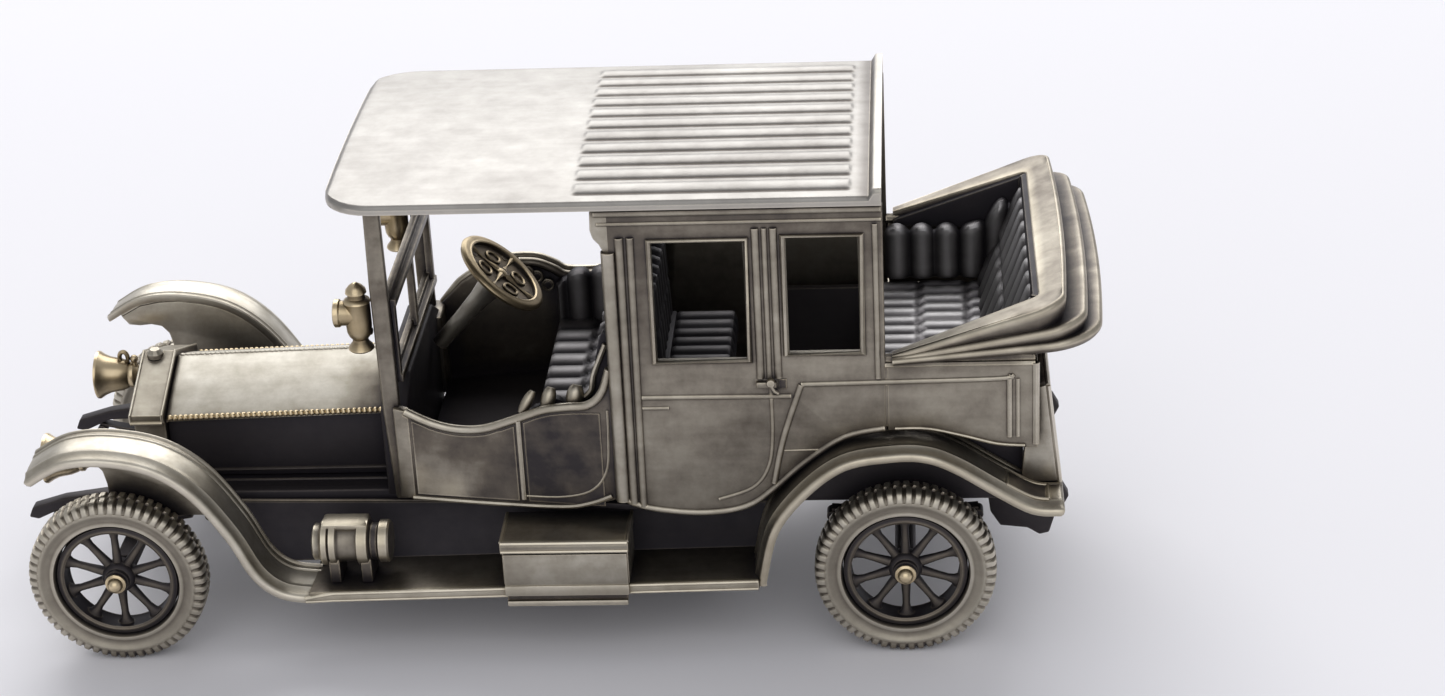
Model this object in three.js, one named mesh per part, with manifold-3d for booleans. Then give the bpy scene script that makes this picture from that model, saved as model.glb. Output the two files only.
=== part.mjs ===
// Miniature landaulette: an antiqued silver model of an early motor car with an open driver's
// seat, a closed cabin under a ribbed roof, and a folded leather hood behind it.
// Millimetres. +X is the front of the car, +Y its left side, +Z up.
// The origin is the middle of the footprint, on the ground.
import * as THREE from 'three';
import { mergeVertices } from 'three/addons/utils/BufferGeometryUtils.js';
import Module from 'manifold-3d';

const wasm = await Module();
wasm.setup();

// ---- Driving dimensions ----
const gap = 0.1;

const wheelRadius = 7.33;
const frontAxleX = 35.8;
const rearAxleX = -28.6;
const wheelCentreY = 14.5;
const tyreHalfWidth = 1.45;
const tyreInnerRadius = 5.1;
const rimInnerRadius = 4.35;
const spokeCount = 10;
const axleRadius = 0.5;
const boreRadius = 0.56;

const railY = 8;
const railHalfWidth = 0.6;
const railLow = 10.4;
const railHigh = 11.8;

const wingInnerY = 12.4;
const wingOuterY = 17;
const boardThickness = 0.8;
const boardFrontX = 19.7;
const boardRearX = -16.8;
// The running boards rise a little towards the back.
const boardTopAt = (x) => 7.27 - 0.0195 * x;

const bonnetHalfWidth = 6.25;
const bonnetLowZ = 17.2;
const bonnetEdgeZ = 17.55;
const bonnetRidgeZ = 20.45;
const bonnetFrontX = 32.5;
const bonnetRearX = 13.9;
const bonnetSlope = 0.027;
const radiatorFrontX = 35.5;
const radiatorPeakZ = 20.75;

const screenX = 12.7;
const screenHalfWidth = 9.9;
const crossbarZ = 29.3;
const sillZ = 22.6;

const floorLow = 12.1;
const floorHigh = 12.6;
const pillarX = -5.95;
const cabinRearX = -27.35;
const cabinHalfWidth = 14.4;
const wallThickness = 0.8;
const tubTop = 25.3;
const tubRearX = -39.2;

const roofLow = 39;
const roofEdge = 39.8;
const roofCrown = 40.4;
const roofFrontX = 16;
const roofRearX = -27.3;
const roofHalfWidth = 15;
const roofCornerRadius = 4;

const hoodHalfWidth = 15.6;

// ---- Materials ----
function metal(colour, roughness) {
  return new THREE.MeshStandardMaterial({ color: colour, roughness, metalness: 1 });
}
const silver = metal(0xc9c5ba, 0.3);
const oxidised = metal(0x55534f, 0.5);
const gilt = metal(0xb08a4e, 0.35);

// ---- Solids ----
// A geometry with only merged positions, which is what the boolean library needs.
function clean(geometry) {
  const bare = geometry.clone();
  for (const name of Object.keys(bare.attributes)) {
    if (name !== 'position') bare.deleteAttribute(name);
  }
  return mergeVertices(bare, 1e-4);
}

function toSolid(geometry) {
  const bare = clean(geometry);
  const mesh = new wasm.Mesh({
    numProp: 3,
    vertProperties: new Float32Array(bare.attributes.position.array),
    triVerts: new Uint32Array(bare.index.array),
  });
  return new wasm.Manifold(mesh);
}

function toGeometry(solid) {
  const mesh = solid.getMesh();
  const geometry = new THREE.BufferGeometry();
  geometry.setAttribute('position', new THREE.BufferAttribute(new Float32Array(mesh.vertProperties), 3));
  geometry.setIndex(new THREE.BufferAttribute(new Uint32Array(mesh.triVerts), 1));
  return geometry;
}

function join(...pieces) {
  return toGeometry(pieces.map(toSolid).reduce((sum, piece) => sum.add(piece)));
}

function cut(piece, ...tools) {
  return toGeometry(tools.map(toSolid).reduce((rest, tool) => rest.subtract(tool), toSolid(piece)));
}

function common(first, second) {
  return toGeometry(toSolid(first).intersect(toSolid(second)));
}

function extrude(outline, depth) {
  const shape = new THREE.Shape(outline.map(([a, b]) => new THREE.Vector2(a, b)));
  return new THREE.ExtrudeGeometry(shape, { depth, bevelEnabled: false });
}

// An outline of [x, z] points, as thick as yLow to yHigh.
function sideSlab(outline, yLow, yHigh) {
  return extrude(outline, yHigh - yLow).rotateX(Math.PI / 2).translate(0, yHigh, 0);
}

// An outline of [x, y] points, from zLow up to zHigh.
function planSlab(outline, zLow, zHigh) {
  return extrude(outline, zHigh - zLow).translate(0, 0, zLow);
}

// A section of [y, z] points, running from xLow to xHigh.
function sectionBar(section, xLow, xHigh) {
  const turn = new THREE.Matrix4().set(0, 0, 1, xLow, 1, 0, 0, 0, 0, 1, 0, 0, 0, 0, 0, 1);
  return extrude(section, xHigh - xLow).applyMatrix4(turn);
}

function box([xLow, xHigh], [yLow, yHigh], [zLow, zHigh]) {
  return new THREE.BoxGeometry(xHigh - xLow, yHigh - yLow, zHigh - zLow)
    .translate((xLow + xHigh) / 2, (yLow + yHigh) / 2, (zLow + zHigh) / 2);
}

// A turned piece: [radius, height] points about the given unit axis, heights from the point at.
function turned(profile, axis, at, segments = 20) {
  const points = profile.map(([radius, height]) => new THREE.Vector2(radius, height));
  const turn = new THREE.Quaternion().setFromUnitVectors(new THREE.Vector3(0, 1, 0), axis);
  return new THREE.LatheGeometry(points, segments).applyQuaternion(turn).translate(...at);
}

function rod(from, to, radius, sides = 10) {
  const start = new THREE.Vector3(...from);
  const along = new THREE.Vector3(...to).sub(start);
  const profile = [[0, 0], [radius, 0], [radius, along.length()], [0, along.length()]];
  return turned(profile, along.clone().normalize(), from, sides);
}

// A piece that rises by slope for every millimetre behind startX.
function rising(geometry, slope, startX) {
  const shear = new THREE.Matrix4().set(1, 0, 0, 0, 0, 1, 0, 0, -slope, 0, 1, slope * startX, 0, 0, 0, 1);
  return geometry.clone().applyMatrix4(shear);
}

// The same piece on the other side of the car.
function mirrored(geometry) {
  const copy = clean(geometry).scale(1, -1, 1);
  const index = copy.index.array;
  for (let i = 0; i < index.length; i += 3) {
    [index[i + 1], index[i + 2]] = [index[i + 2], index[i + 1]];
  }
  return copy;
}

// A section of [y, offset] points swept along a path of [x, z] points in the plane of the car's
// side. Offset is measured square to the path, outwards.
function sweep(path, section) {
  const spots = new THREE.SplineCurve(path.map(([x, z]) => new THREE.Vector2(x, z)));
  const steps = 22;
  const rings = [];
  for (let i = 0; i <= steps; i += 1) {
    const point = spots.getPoint(i / steps);
    const tangent = spots.getTangent(i / steps);
    rings.push(section.map(([y, offset]) => [
      point.x + tangent.y * offset, y, point.y - tangent.x * offset]));
  }
  const count = section.length;
  const faces = [];
  for (let i = 0; i < steps; i += 1) {
    for (let j = 0; j < count; j += 1) {
      const a = i * count + j;
      const b = i * count + ((j + 1) % count);
      faces.push(a, a + count, b, b, a + count, b + count);
    }
  }
  const outline = section.map(([y, offset]) => new THREE.Vector2(y, offset));
  const last = steps * count;
  for (const [a, b, c] of THREE.ShapeUtils.triangulateShape(outline, [])) {
    faces.push(a, b, c, last + a, last + c, last + b);
  }
  const geometry = new THREE.BufferGeometry();
  geometry.setAttribute('position', new THREE.Float32BufferAttribute(rings.flat(2), 3));
  geometry.setIndex(faces);
  return geometry;
}

const car = new THREE.Group();
const alongX = new THREE.Vector3(1, 0, 0);
const alongY = new THREE.Vector3(0, 1, 0);
const alongZ = new THREE.Vector3(0, 0, 1);

function add(name, geometry, material, parent = car) {
  const mesh = new THREE.Mesh(clean(geometry), material);
  mesh.name = name;
  parent.add(mesh);
  return mesh;
}

// A left piece and its mirror image on the right.
function addPair(name, leftGeometry, material) {
  add(`${name}_left`, leftGeometry, material);
  add(`${name}_right`, mirrored(leftGeometry), material);
}

// ---- Wheels ----
function tyre() {
  const w = tyreHalfWidth;
  const r = wheelRadius;
  const half = [[tyreInnerRadius, w * 0.75], [r - 1.2, w], [r - 0.35, w * 0.86], [r, w * 0.5]];
  const otherHalf = half.map(([radius, height]) => [radius, -height]);
  return turned([...otherHalf, ...half.reverse(), otherHalf[0]], alongY, [0, 0, 0], 36);
}

function wheelCentre() {
  const outer = tyreInnerRadius - gap;
  const rimHalf = 0.9;
  const rim = turned([[rimInnerRadius, -rimHalf], [outer, -rimHalf], [outer, rimHalf],
    [rimInnerRadius, rimHalf], [rimInnerRadius, -rimHalf]], alongY, [0, 0, 0], 30);
  const hub = turned([[0, -1.1], [1.0, -1.1], [1.3, -0.3], [1.3, 0.5], [0.9, 1.2], [0, 1.2]],
    alongY, [0, 0, 0], 20);
  const spokes = [];
  for (let i = 0; i < spokeCount; i += 1) {
    const turn = (i + 0.5) * 2 * Math.PI / spokeCount;
    const spoke = box([0.7, rimInnerRadius + 0.3], [-0.3, 0.3], [-0.26, 0.26]);
    spokes.push(spoke.rotateY(turn));
  }
  const bore = rod([0, -2, 0], [0, 2, 0], boreRadius, 16);
  return cut(join(rim, hub, ...spokes), bore);
}

function hubCap() {
  return turned([[0, 0], [0.85, 0], [0.85, 0.35], [0.55, 0.8], [0, 0.95]], alongY, [0, 0, 0], 16);
}

function addWheel(place, x, side) {
  const wheel = new THREE.Group();
  wheel.position.set(x, side * wheelCentreY, wheelRadius);
  wheel.rotation.z = side > 0 ? 0 : Math.PI;
  car.add(wheel);
  add(`tyre_${place}`, tyre(), silver, wheel);
  add(`wheel_${place}`, wheelCentre(), oxidised, wheel);
  add(`hub_cap_${place}`, hubCap().translate(0, 1.2 + gap, 0), gilt, wheel);
}
addWheel('front_left', frontAxleX, 1);
addWheel('front_right', frontAxleX, -1);
addWheel('rear_left', rearAxleX, 1);
addWheel('rear_right', rearAxleX, -1);

// ---- Axles, springs and chassis ----
const axleEndY = 15.6;
const axleShoulderY = 12.6;

function frontAxle() {
  const shaft = rod([frontAxleX, -axleEndY, wheelRadius], [frontAxleX, axleEndY, wheelRadius], axleRadius, 16);
  const beam = box([frontAxleX - 0.7, frontAxleX + 0.7], [-axleShoulderY, axleShoulderY],
    [wheelRadius - 0.75, wheelRadius + 0.75]);
  return join(shaft, beam);
}

function rearAxle() {
  const tube = 0.85;
  const half = [[0, axleEndY], [axleRadius, axleEndY], [axleRadius, axleShoulderY],
    [tube, axleShoulderY], [tube, 2.2], [1.9, 1.2]];
  const otherHalf = half.map(([radius, y]) => [radius, -y]);
  return turned([...otherHalf, ...half.reverse()], alongY, [rearAxleX, 0, wheelRadius], 16);
}

// A stack of leaves, bowed down to sit on the axle, with an eye at each end.
function leafSpring(centreX, halfLength, rise) {
  const seatZ = wheelRadius + 0.95;
  const stack = 0.85;
  const steps = 8;
  const low = [];
  for (let i = -steps; i <= steps; i += 1) {
    low.push([centreX + halfLength * i / steps, seatZ + rise * (i / steps) ** 2]);
  }
  const high = low.map(([x, z]) => [x, z + stack * (1 - 0.45 * Math.abs(x - centreX) / halfLength)]);
  const leaves = sideSlab([...low, ...high.reverse()], railY - 0.5, railY + 0.5);
  const eyeZ = seatZ + rise + 0.25;
  const eyes = [-1, 1].map((end) => rod([centreX + end * halfLength, railY - 0.6, eyeZ],
    [centreX + end * halfLength, railY + 0.6, eyeZ], 0.45));
  return join(leaves, ...eyes);
}

// The rails end in curved dumb irons at the front and in deep spring hangers at the back.
function chassisFrame() {
  const outline = [[-35.4, railLow], [-35.6, 8.9], [-36.4, 7.6], [-38.6, 7.35], [-39.6, 6.7], [-40.4, 6.9],
    [-40.8, 8.3], [-41.6, 9.5], [-42, railLow - 0.1], [-41.4, railHigh - 0.4], [-39, railHigh], [38, railHigh], [41.5, railHigh - 0.5], [44.2, 10.5], [44.6, 9.6], [43.8, 9.4],
    [41.5, 10.45], [38, railLow + 0.2], [37, railLow + 0.2]];
  const rail = sideSlab(outline, railY - railHalfWidth, railY + railHalfWidth);
  const pan = box([-38.5, 37.6], [-railY, railY], [railHigh - 0.6, railHigh]);
  return join(rail, mirrored(rail), pan);
}

add('chassis_frame', chassisFrame(), oxidised);
add('front_axle', frontAxle(), oxidised);
add('rear_axle', rearAxle(), oxidised);
addPair('front_spring', leafSpring(frontAxleX, 6.5, 0.9), oxidised);
addPair('rear_spring', leafSpring(rearAxleX, 6, 0.1), oxidised);

// ---- Wings, running boards and aprons ----
const frontWingPath = [[41.4, 16.9], [38.7, 18.35], [35.2, 18.6], [31.3, 17.7], [28.2, 15.4],
  [25.6, 11.6], [23.8, 8.4], [21.9, 6.75], [19.9, 6.35]];
const rearWingPath = [[-17, 7.75], [-18.2, 12.1], [-20.8, 15.5], [-23.9, 17.8], [-27.7, 18.5],
  [-30.4, 18.4], [-32.8, 17.4], [-36.2, 15.2], [-38.8, 13.7], [-40.9, 13.5]];

const wingSection = [[wingOuterY, -0.5], [wingOuterY, 0.1], [16.2, 0.5], [14.8, 0.6],
  [wingInnerY, 0.65], [wingInnerY, -0.05], [14.8, -0.1], [16.2, -0.2]];

// The two front wings of the hand-made model stand a little differently: lift raises all but the foot.
function frontWing(lift) {
  const inner = wingInnerY;
  const raised = (points, above) => points.map(([x, z]) => [x, z > above ? z + lift : z]);
  const flitch = sideSlab(raised([[40.6, 17.5], [38.8, 18.4], [37, 18.75], [35.2, 18.8], [33.2, 18.5], [31.1, 17.95],
    [29.5, 16.9], [27.95, 15.55], [26.6, 13.8], [25.35, 11.9], [36.2, 11.9], [36.4, 15.8], [37.2, 16.6],
    [39, 16.4]], 12), inner, inner + 0.4);
  return join(sweep(raised(frontWingPath, 10), wingSection), flitch);
}

function rearWing() {
  return sweep(rearWingPath, wingSection);
}

add('front_wing_left', frontWing(0.5), silver);
add('front_wing_right', mirrored(frontWing(0.85)), silver);
addPair('rear_wing', rearWing(), silver);

function runningBoard() {
  const top = [boardFrontX, boardRearX].map((x) => [x, boardTopAt(x)]);
  const underside = top.map(([x, z]) => [x, z - boardThickness]).reverse();
  return sideSlab([...top, ...underside], 11.2, wingOuterY);
}

// A leaning sheet from the chassis down to the running board. Its front end follows the wing up.
function splashApron() {
  const sheetAt = (x, topZ, footZ) => sectionBar([[8.9, topZ], [9.5, topZ + 0.1], [11.7, footZ + 0.1], [11.1, footZ]],
    x, x + 0.1);
  const ends = [sheetAt(-17.9, 10.6, 7.8), sheetAt(27.3, 11.2, boardTopAt(27.3) + gap)];
  const sheet = toGeometry(wasm.Manifold.hull(ends.map(toSolid)));
  const wheelSpace = sideSlab([[22, 6], [24, 6.9], [25.6, 9.6], [27.5, 12.4], [29, 12.4], [29, 6]], 8, 13);
  return cut(sheet, wheelSpace);
}

addPair('running_board', runningBoard(), silver);
addPair('splash_apron', splashApron(), oxidised);
add('rear_apron', sideSlab([[-39.4, 22.6], [-40.1, 22.8], [-41, 14.2], [-39.4, 13.9]], -12.2, 12.2), silver);

// ---- Running board fittings ----
const boxFrontX = 3.7;
const boxRearX = -6.5;
const boxFaceY = 17.4;

function toolbox() {
  const foot = boardTopAt(boxRearX) + gap;
  const section = [[12.4, foot], [wingOuterY + gap, foot], [wingOuterY + gap, 5.6],
    [boxFaceY, 5.6], [boxFaceY, 10.4], [12.4, 10.4]];
  return sectionBar(section, boxRearX, boxFrontX);
}

function gasGenerator() {
  const y = 14.2;
  const z = 10.1;
  const drum = turned([[0, 0], [1.5, 0], [1.5, 0.7], [1.95, 0.8], [1.95, 1.9], [1.6, 2.0], [1.6, 3.6],
    [1.95, 3.7], [1.95, 4.9], [1.5, 5.0], [1.5, 5.6], [1.75, 5.7], [1.75, 6.3], [0, 6.4]],
  alongX.clone().negate(), [19.4, y, z], 20);
  const feet = [14.6, 17.2].map((x) => box([x, x + 0.9], [y - 1.4, y + 1.4], [boardTopAt(x) + gap, z - 1]));
  return join(drum, ...feet);
}

add('toolbox', toolbox(), silver);
add('toolbox_lid', box([boxRearX - 0.1, boxFrontX + 0.1], [12.3, boxFaceY + 0.1], [10.5, 11.7]), silver);
add('gas_generator', gasGenerator(), silver);

// ---- Bonnet and radiator ----
const gable = (halfWidth, low, edge, ridge) => [
  [-halfWidth, low], [halfWidth, low], [halfWidth, edge], [0, ridge], [-halfWidth, edge]];

function radiatorShell() {
  const upper = sectionBar(gable(6.8, 17.3, 18, radiatorPeakZ), bonnetFrontX + gap, radiatorFrontX);
  const lower = box([bonnetFrontX + gap, radiatorFrontX - 0.3], [-6.4, 6.4], [railHigh + gap, 17.6]);
  const pocket = sectionBar(gable(5.5, 12.8, 17.4, 19.6), radiatorFrontX - 1.1, radiatorFrontX + 1);
  const cap = turned([[0, 0], [0.7, 0], [0.7, 0.4], [0.4, 0.75], [0, 0.75]], alongZ, [34.3, 0.5, 20.4], 12);
  return join(cut(join(upper, lower), pocket), cap);
}

// The bonnet and the engine housing under it rise towards the windscreen.
function engineHousing() {
  const top = bonnetLowZ - gap;
  return sideSlab([[bonnetRearX, railHigh + gap], [bonnetFrontX, railHigh + gap], [bonnetFrontX, top],
    [bonnetRearX, top + bonnetSlope * (bonnetFrontX - bonnetRearX)]], 0.35 - bonnetHalfWidth, bonnetHalfWidth - 0.35);
}

function bonnet() {
  const level = sectionBar(gable(bonnetHalfWidth, bonnetLowZ, bonnetEdgeZ, bonnetRidgeZ), bonnetRearX, bonnetFrontX);
  return rising(level, bonnetSlope, bonnetFrontX);
}

add('engine_housing', engineHousing(), oxidised);
add('bonnet', bonnet(), silver);
add('radiator_shell', radiatorShell(), silver);
add('radiator_core', sectionBar(gable(5.4, 12.9, 17.3, 19.45), radiatorFrontX - 1, radiatorFrontX - 0.5), oxidised);

// ---- Lamps ----
function headlamp(lampX, lampZ) {
  const lampY = 7.5;
  const bell = turned([[0, 0], [0.7, 0.1], [1.1, 0.5], [1.15, 1.0], [1.45, 1.8], [1.55, 2.6], [2.1, 3.6],
    [2.1, 3.8], [1.8, 3.8], [1.1, 2.9], [0, 2.8]], alongX, [lampX, lampY, lampZ], 20);
  const stemX = lampX + 1.5;
  const chimney = rod([stemX, lampY, lampZ + 1], [stemX, lampY, lampZ + 2.3], 0.5);
  const stem = rod([stemX, lampY, railHigh - 0.05], [stemX, lampY, lampZ - 0.8], 0.4);
  return join(bell, chimney, stem);
}

function sideLamp() {
  const lampY = 10;
  const lampX = 14.7;
  const lampFootZ = 25.4;
  const barrelZ = lampFootZ + 3.2;
  const body = turned([[0, 0], [1.05, 0], [0.7, 0.9], [0.95, 1.5], [1.05, 2.0], [1.05, 4.4], [0.6, 4.8],
    [0.6, 5.2], [0.5, 5.7], [0, 5.9]], alongZ, [lampX, lampY, lampFootZ], 16);
  const barrel = rod([lampX, lampY, barrelZ], [lampX + 1.9, lampY, barrelZ], 1.15, 16);
  return join(body, barrel);
}

// The two headlamps of the hand-made model stand a little differently.
add('headlamp_left', headlamp(38.9, 14.6), gilt);
add('headlamp_right', mirrored(headlamp(38.1, 14.9)), gilt);
addPair('side_lamp', sideLamp(), gilt);

// ---- Windscreen and scuttle ----
function windscreenPost() {
  return sideSlab([[screenX - 0.9, 12], [screenX + 0.3, 12], [screenX + 0.7, 20], [screenX + 0.8, 31],
    [screenX + 0.7, 38.9], [screenX - 0.6, 38.9], [screenX - 0.6, 31], [screenX - 0.7, 20]],
  screenHalfWidth, screenHalfWidth + 0.8);
}

// Two thin rails at the sill, two at mid height, the side stiles and the middle mullion.
function windscreenFrame() {
  const reach = screenHalfWidth - gap;
  const x = screenX - 0.6;
  const rails = [sillZ, crossbarZ].flatMap((z) => [
    box([x, x + 0.55], [-reach, reach], [z + 0.25, z + 0.8]),
    box([x - 0.5, x + 0.05], [-reach, reach], [z - 0.35, z + 0.3])]);
  const stiles = [-reach, -0.4, reach - 0.8].map((y) =>
    box([x - 0.35, x + 0.25], [y, y + 0.8], [sillZ, crossbarZ]));
  return join(...rails, ...stiles);
}

function scuttle() {
  const half = screenHalfWidth - gap;
  return sectionBar([[-half, railHigh + gap], [half, railHigh + gap], [half, 19.6], [6.5, 21.6],
    [-6.5, 21.6], [-half, 19.6]], 11.6, bonnetRearX - gap);
}

addPair('windscreen_post', windscreenPost(), oxidised);
add('windscreen_frame', windscreenFrame(), oxidised);
add('scuttle', scuttle(), oxidised);

// ---- Steering ----
const steeringY = -4.5;
const steeringAxis = new THREE.Vector3(-0.67, 0, 0.742).normalize();
const steeringCentre = new THREE.Vector3(5.1, steeringY, 25.3);
const steeringRadius = 4.3;

function steeringWheel() {
  const rim = new THREE.TorusGeometry(steeringRadius - 0.4, 0.4, 8, 28).rotateX(Math.PI / 2);
  const boss = turned([[0, -0.4], [0.8, -0.4], [0.8, 0.3], [0.4, 0.5], [0, 0.5]], alongY, [0, 0, 0], 14);
  const web = turned([[0, -0.3], [steeringRadius - 0.6, -0.15], [steeringRadius - 0.6, 0.1], [0, -0.05]],
    alongY, [0, 0, 0], 28);
  const wheel = join(rim, boss, web);
  const turn = new THREE.Quaternion().setFromUnitVectors(alongY, steeringAxis);
  return wheel.applyQuaternion(turn).translate(...steeringCentre);
}

function steeringColumn() {
  const top = steeringCentre.clone().addScaledVector(steeringAxis, -0.4 - gap);
  const foot = steeringCentre.clone().addScaledVector(steeringAxis, -8.7);
  return rod(foot.toArray(), top.toArray(), 0.65, 12);
}

add('steering_wheel', steeringWheel(), gilt);
add('steering_column', steeringColumn(), oxidised);

// ---- Front body ----
// The side panels spread from the windscreen out to the cabin's front pillar.
const spread = 0.163;
const panelOuterYAt = (x) => cabinHalfWidth - 0.2 - spread * (x - pillarX);

const panelFrontX = screenX - 0.9 - gap;
const passengerSill = [[panelFrontX, 20.3], [9.4, 19.4], [7.3, 19], [5, 19.2], [2.4, 20.2], [0, 21.3]];
const driverSill = [[panelFrontX, 19.6], [10.5, 20.8], [9.7, 21.6], [8, 22.6], [6, 23.3], [4.6, 23.4],
  [3.1, 23.2], [1.7, 22.5], [0.6, 21.8]];

function frontSide(sill) {
  const outline = [[panelFrontX, 12.3], ...sill, [-2, 21.7], [-3.9, 21.9], [-5, 23], [-5.8, 25.4],
    [-5.8, 13.6], [-3.5, 12.8], [-1, 12.3]];
  const panel = sideSlab(outline, -wallThickness, 0);
  const shear = new THREE.Matrix4().set(1, 0, 0, 0, -spread, 1, 0, panelOuterYAt(0), 0, 0, 1, 0, 0, 0, 0, 1);
  return panel.applyMatrix4(shear);
}

function bodyFloor() {
  const half = [[11.4, 10.3], [-6.2, 13.2], [-15.5, 13.2], [-17.2, 12.1], [-38.1, 12.1]];
  const otherHalf = half.map(([x, y]) => [x, -y]).reverse();
  const wheelHouse = box([-38.1, -16.9], [11.4, 12.1], [floorHigh - 0.1, 20.2]);
  return join(planSlab([...half, ...otherHalf], floorLow, floorHigh), wheelHouse, mirrored(wheelHouse));
}

function seatSurround(frontX, backX, backThickness, halfWidth, sideThickness) {
  const innerY = halfWidth - sideThickness;
  const innerX = backX + backThickness;
  return [[frontX, halfWidth], [backX, halfWidth], [backX, -halfWidth], [frontX, -halfWidth],
    [frontX, -innerY], [innerX, -innerY], [innerX, innerY], [frontX, innerY]];
}

function frontSeatBack() {
  const plan = planSlab(seatSurround(1.5, -5.8, 1.3, 11.8, 1.1), 18.1, 28);
  const side = sideSlab([[1.6, 18], [1.6, 21.4], [-3.3, 21.9], [-4, 23.6], [-4.5, 27], [-5.9, 27], [-5.9, 18]],
    -13, 13);
  return common(plan, side);
}

add('front_side_left', frontSide(passengerSill), oxidised);
add('front_side_right', mirrored(frontSide(driverSill)), oxidised);
add('body_floor', bodyFloor(), oxidised);
add('front_seat_cushion', box([-5.7, 1.5], [-11.6, 11.6], [floorHigh + gap, 18]), oxidised);
add('front_seat_back', frontSeatBack(), oxidised);

// ---- Cabin ----
const windows = [{ x: [-16.8, -9.3], z: [25.9, 36.3] }, { x: [-25.65, -19.65], z: [26.4, 36.5] }];

function cabinSide() {
  const outline = [[pillarX, 13.6], [pillarX, roofLow - gap], [cabinRearX, roofLow - gap], [cabinRearX, 19.6],
    [-24, 18.9], [-20.8, 16.7], [-18.2, 14.4], [-16.4, 13], [-14.3, 12.4], [-11.4, 12.3], [-8, 12.8]];
  const panel = sideSlab(outline, cabinHalfWidth - wallThickness, cabinHalfWidth);
  const panes = windows.map(({ x, z }) => box(x, [10, 20], z));
  const handle = box([-18.8, -17.2], [cabinHalfWidth - 0.2, cabinHalfWidth + 0.5], [23.7, 24.2]);
  return join(cut(panel, ...panes), handle);
}

function partition() {
  const panel = box([pillarX - 1, pillarX - gap], [-13.4, 13.4], [floorHigh + gap, roofLow - gap]);
  return cut(panel, box([-10, 0], [-10.5, 10.5], [28, 36.4]));
}

function jumpSeat() {
  return sideSlab([[-7.1, floorHigh + gap], [-7.1, 28], [-9.2, 28], [-9.4, 21], [-14.6, 21], [-14.6, 18.6],
    [-9.4, 18.6], [-9.4, floorHigh + gap]], -6, 6);
}

addPair('cabin_side', cabinSide(), silver);
add('partition', partition(), oxidised);
add('jump_seat', jumpSeat(), oxidised);

// ---- Rear body ----
function rearTub() {
  const plan = planSlab(seatSurround(cabinRearX - gap, tubRearX, wallThickness, cabinHalfWidth, wallThickness),
    12, tubTop);
  const side = sideSlab([[-27, tubTop], [-27, 19.6], [-30.6, 19.6], [-33.5, 18.9], [-36, 18.2], [-38.3, 18],
    [-38.3, 13.2], [-39.3, 13.2], [-39.3, tubTop]], -15, 15);
  const tail = box([-40, -38], [12.2, 15], [12, 17.9]);
  return cut(common(plan, side), tail, mirrored(tail));
}

function rearSeatBack() {
  const plan = planSlab(seatSurround(-27.6, -38.3, 1.4, 11.7, 0.9), 21.1, 30);
  const side = sideSlab([[-27.5, 21], [-27.5, 25.2], [-36, 25.8], [-36.9, 29.4], [-38.4, 29.4], [-38.4, 21]],
    -15, 15);
  return common(plan, side);
}

add('rear_tub', rearTub(), silver);
add('rear_seat_cushion', box([-38.2, -26], [-11.3, 11.3], [floorHigh + gap, 21]), oxidised);
add('rear_seat_back', rearSeatBack(), oxidised);

// ---- Roof ----
function roof() {
  const r = roofCornerRadius;
  const y = roofHalfWidth;
  const corner = [];
  for (let i = 0; i <= 5; i += 1) {
    const turn = i * Math.PI / 10;
    corner.push([roofFrontX - r + r * Math.cos(turn), y - r + r * Math.sin(turn)]);
  }
  const rightCorner = corner.map(([x, cornerY]) => [x, -cornerY]).reverse();
  const plan = planSlab([...rightCorner, ...corner, [roofRearX, y], [roofRearX, -y]], roofLow - 1, roofCrown + 1);
  const crown = [];
  for (let i = 0; i <= 8; i += 1) {
    const across = 1 - i / 4;
    crown.push([across * y, roofEdge + (roofCrown - roofEdge) * (1 - across ** 2)]);
  }
  const shell = common(plan, sectionBar([[-y, roofLow], [y, roofLow], ...crown], roofRearX - 1, roofFrontX + 1));
  const lip = box([roofRearX, roofRearX + 0.7], [-y, y], [roofLow + 0.3, roofCrown + 0.6]);
  return join(shell, lip);
}

add('roof', roof(), silver);

// ---- Folded hood ----
// Three folds of the leather hood, opening like a fan from the hinge behind the cabin.
const hoodHinge = [-27.9, 25.6];
const hoodFolds = [
  { rearX: -41.8, low: 29, high: 31.2, halfWidth: hoodHalfWidth },
  { rearX: -43.5, low: 28, high: 29.5, halfWidth: hoodHalfWidth + 0.2 },
  { rearX: -44.7, low: 27.3, high: 28.3, halfWidth: hoodHalfWidth + 0.4 },
];
const hoodInnerX = -39.3;
const hoodInnerY = 12.6;
const hoodFrontInnerY = 13.7;

function hoodFold({ rearX, low, high, halfWidth }) {
  const bow = 2;
  const outline = [[hoodHinge[0], halfWidth - 0.9], [rearX + bow, halfWidth], [rearX + 0.5, halfWidth - 1.6],
    [rearX, halfWidth - 6], [rearX, 6 - halfWidth], [rearX + 0.5, 1.6 - halfWidth], [rearX + bow, -halfWidth],
    [hoodHinge[0], 0.9 - halfWidth], [hoodHinge[0], -hoodFrontInnerY], [hoodInnerX, -hoodInnerY],
    [hoodInnerX, hoodInnerY], [hoodHinge[0], hoodFrontInnerY]];
  const wedge = sideSlab([[hoodHinge[0] + 1, hoodHinge[1] - 0.2], [hoodHinge[0] + 1, hoodHinge[1] + 0.3],
    [rearX, high], [rearX - 1, high], [rearX - 1, low], [rearX, low]], -20, 20);
  return common(planSlab(outline, 20, 35), wedge);
}

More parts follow.
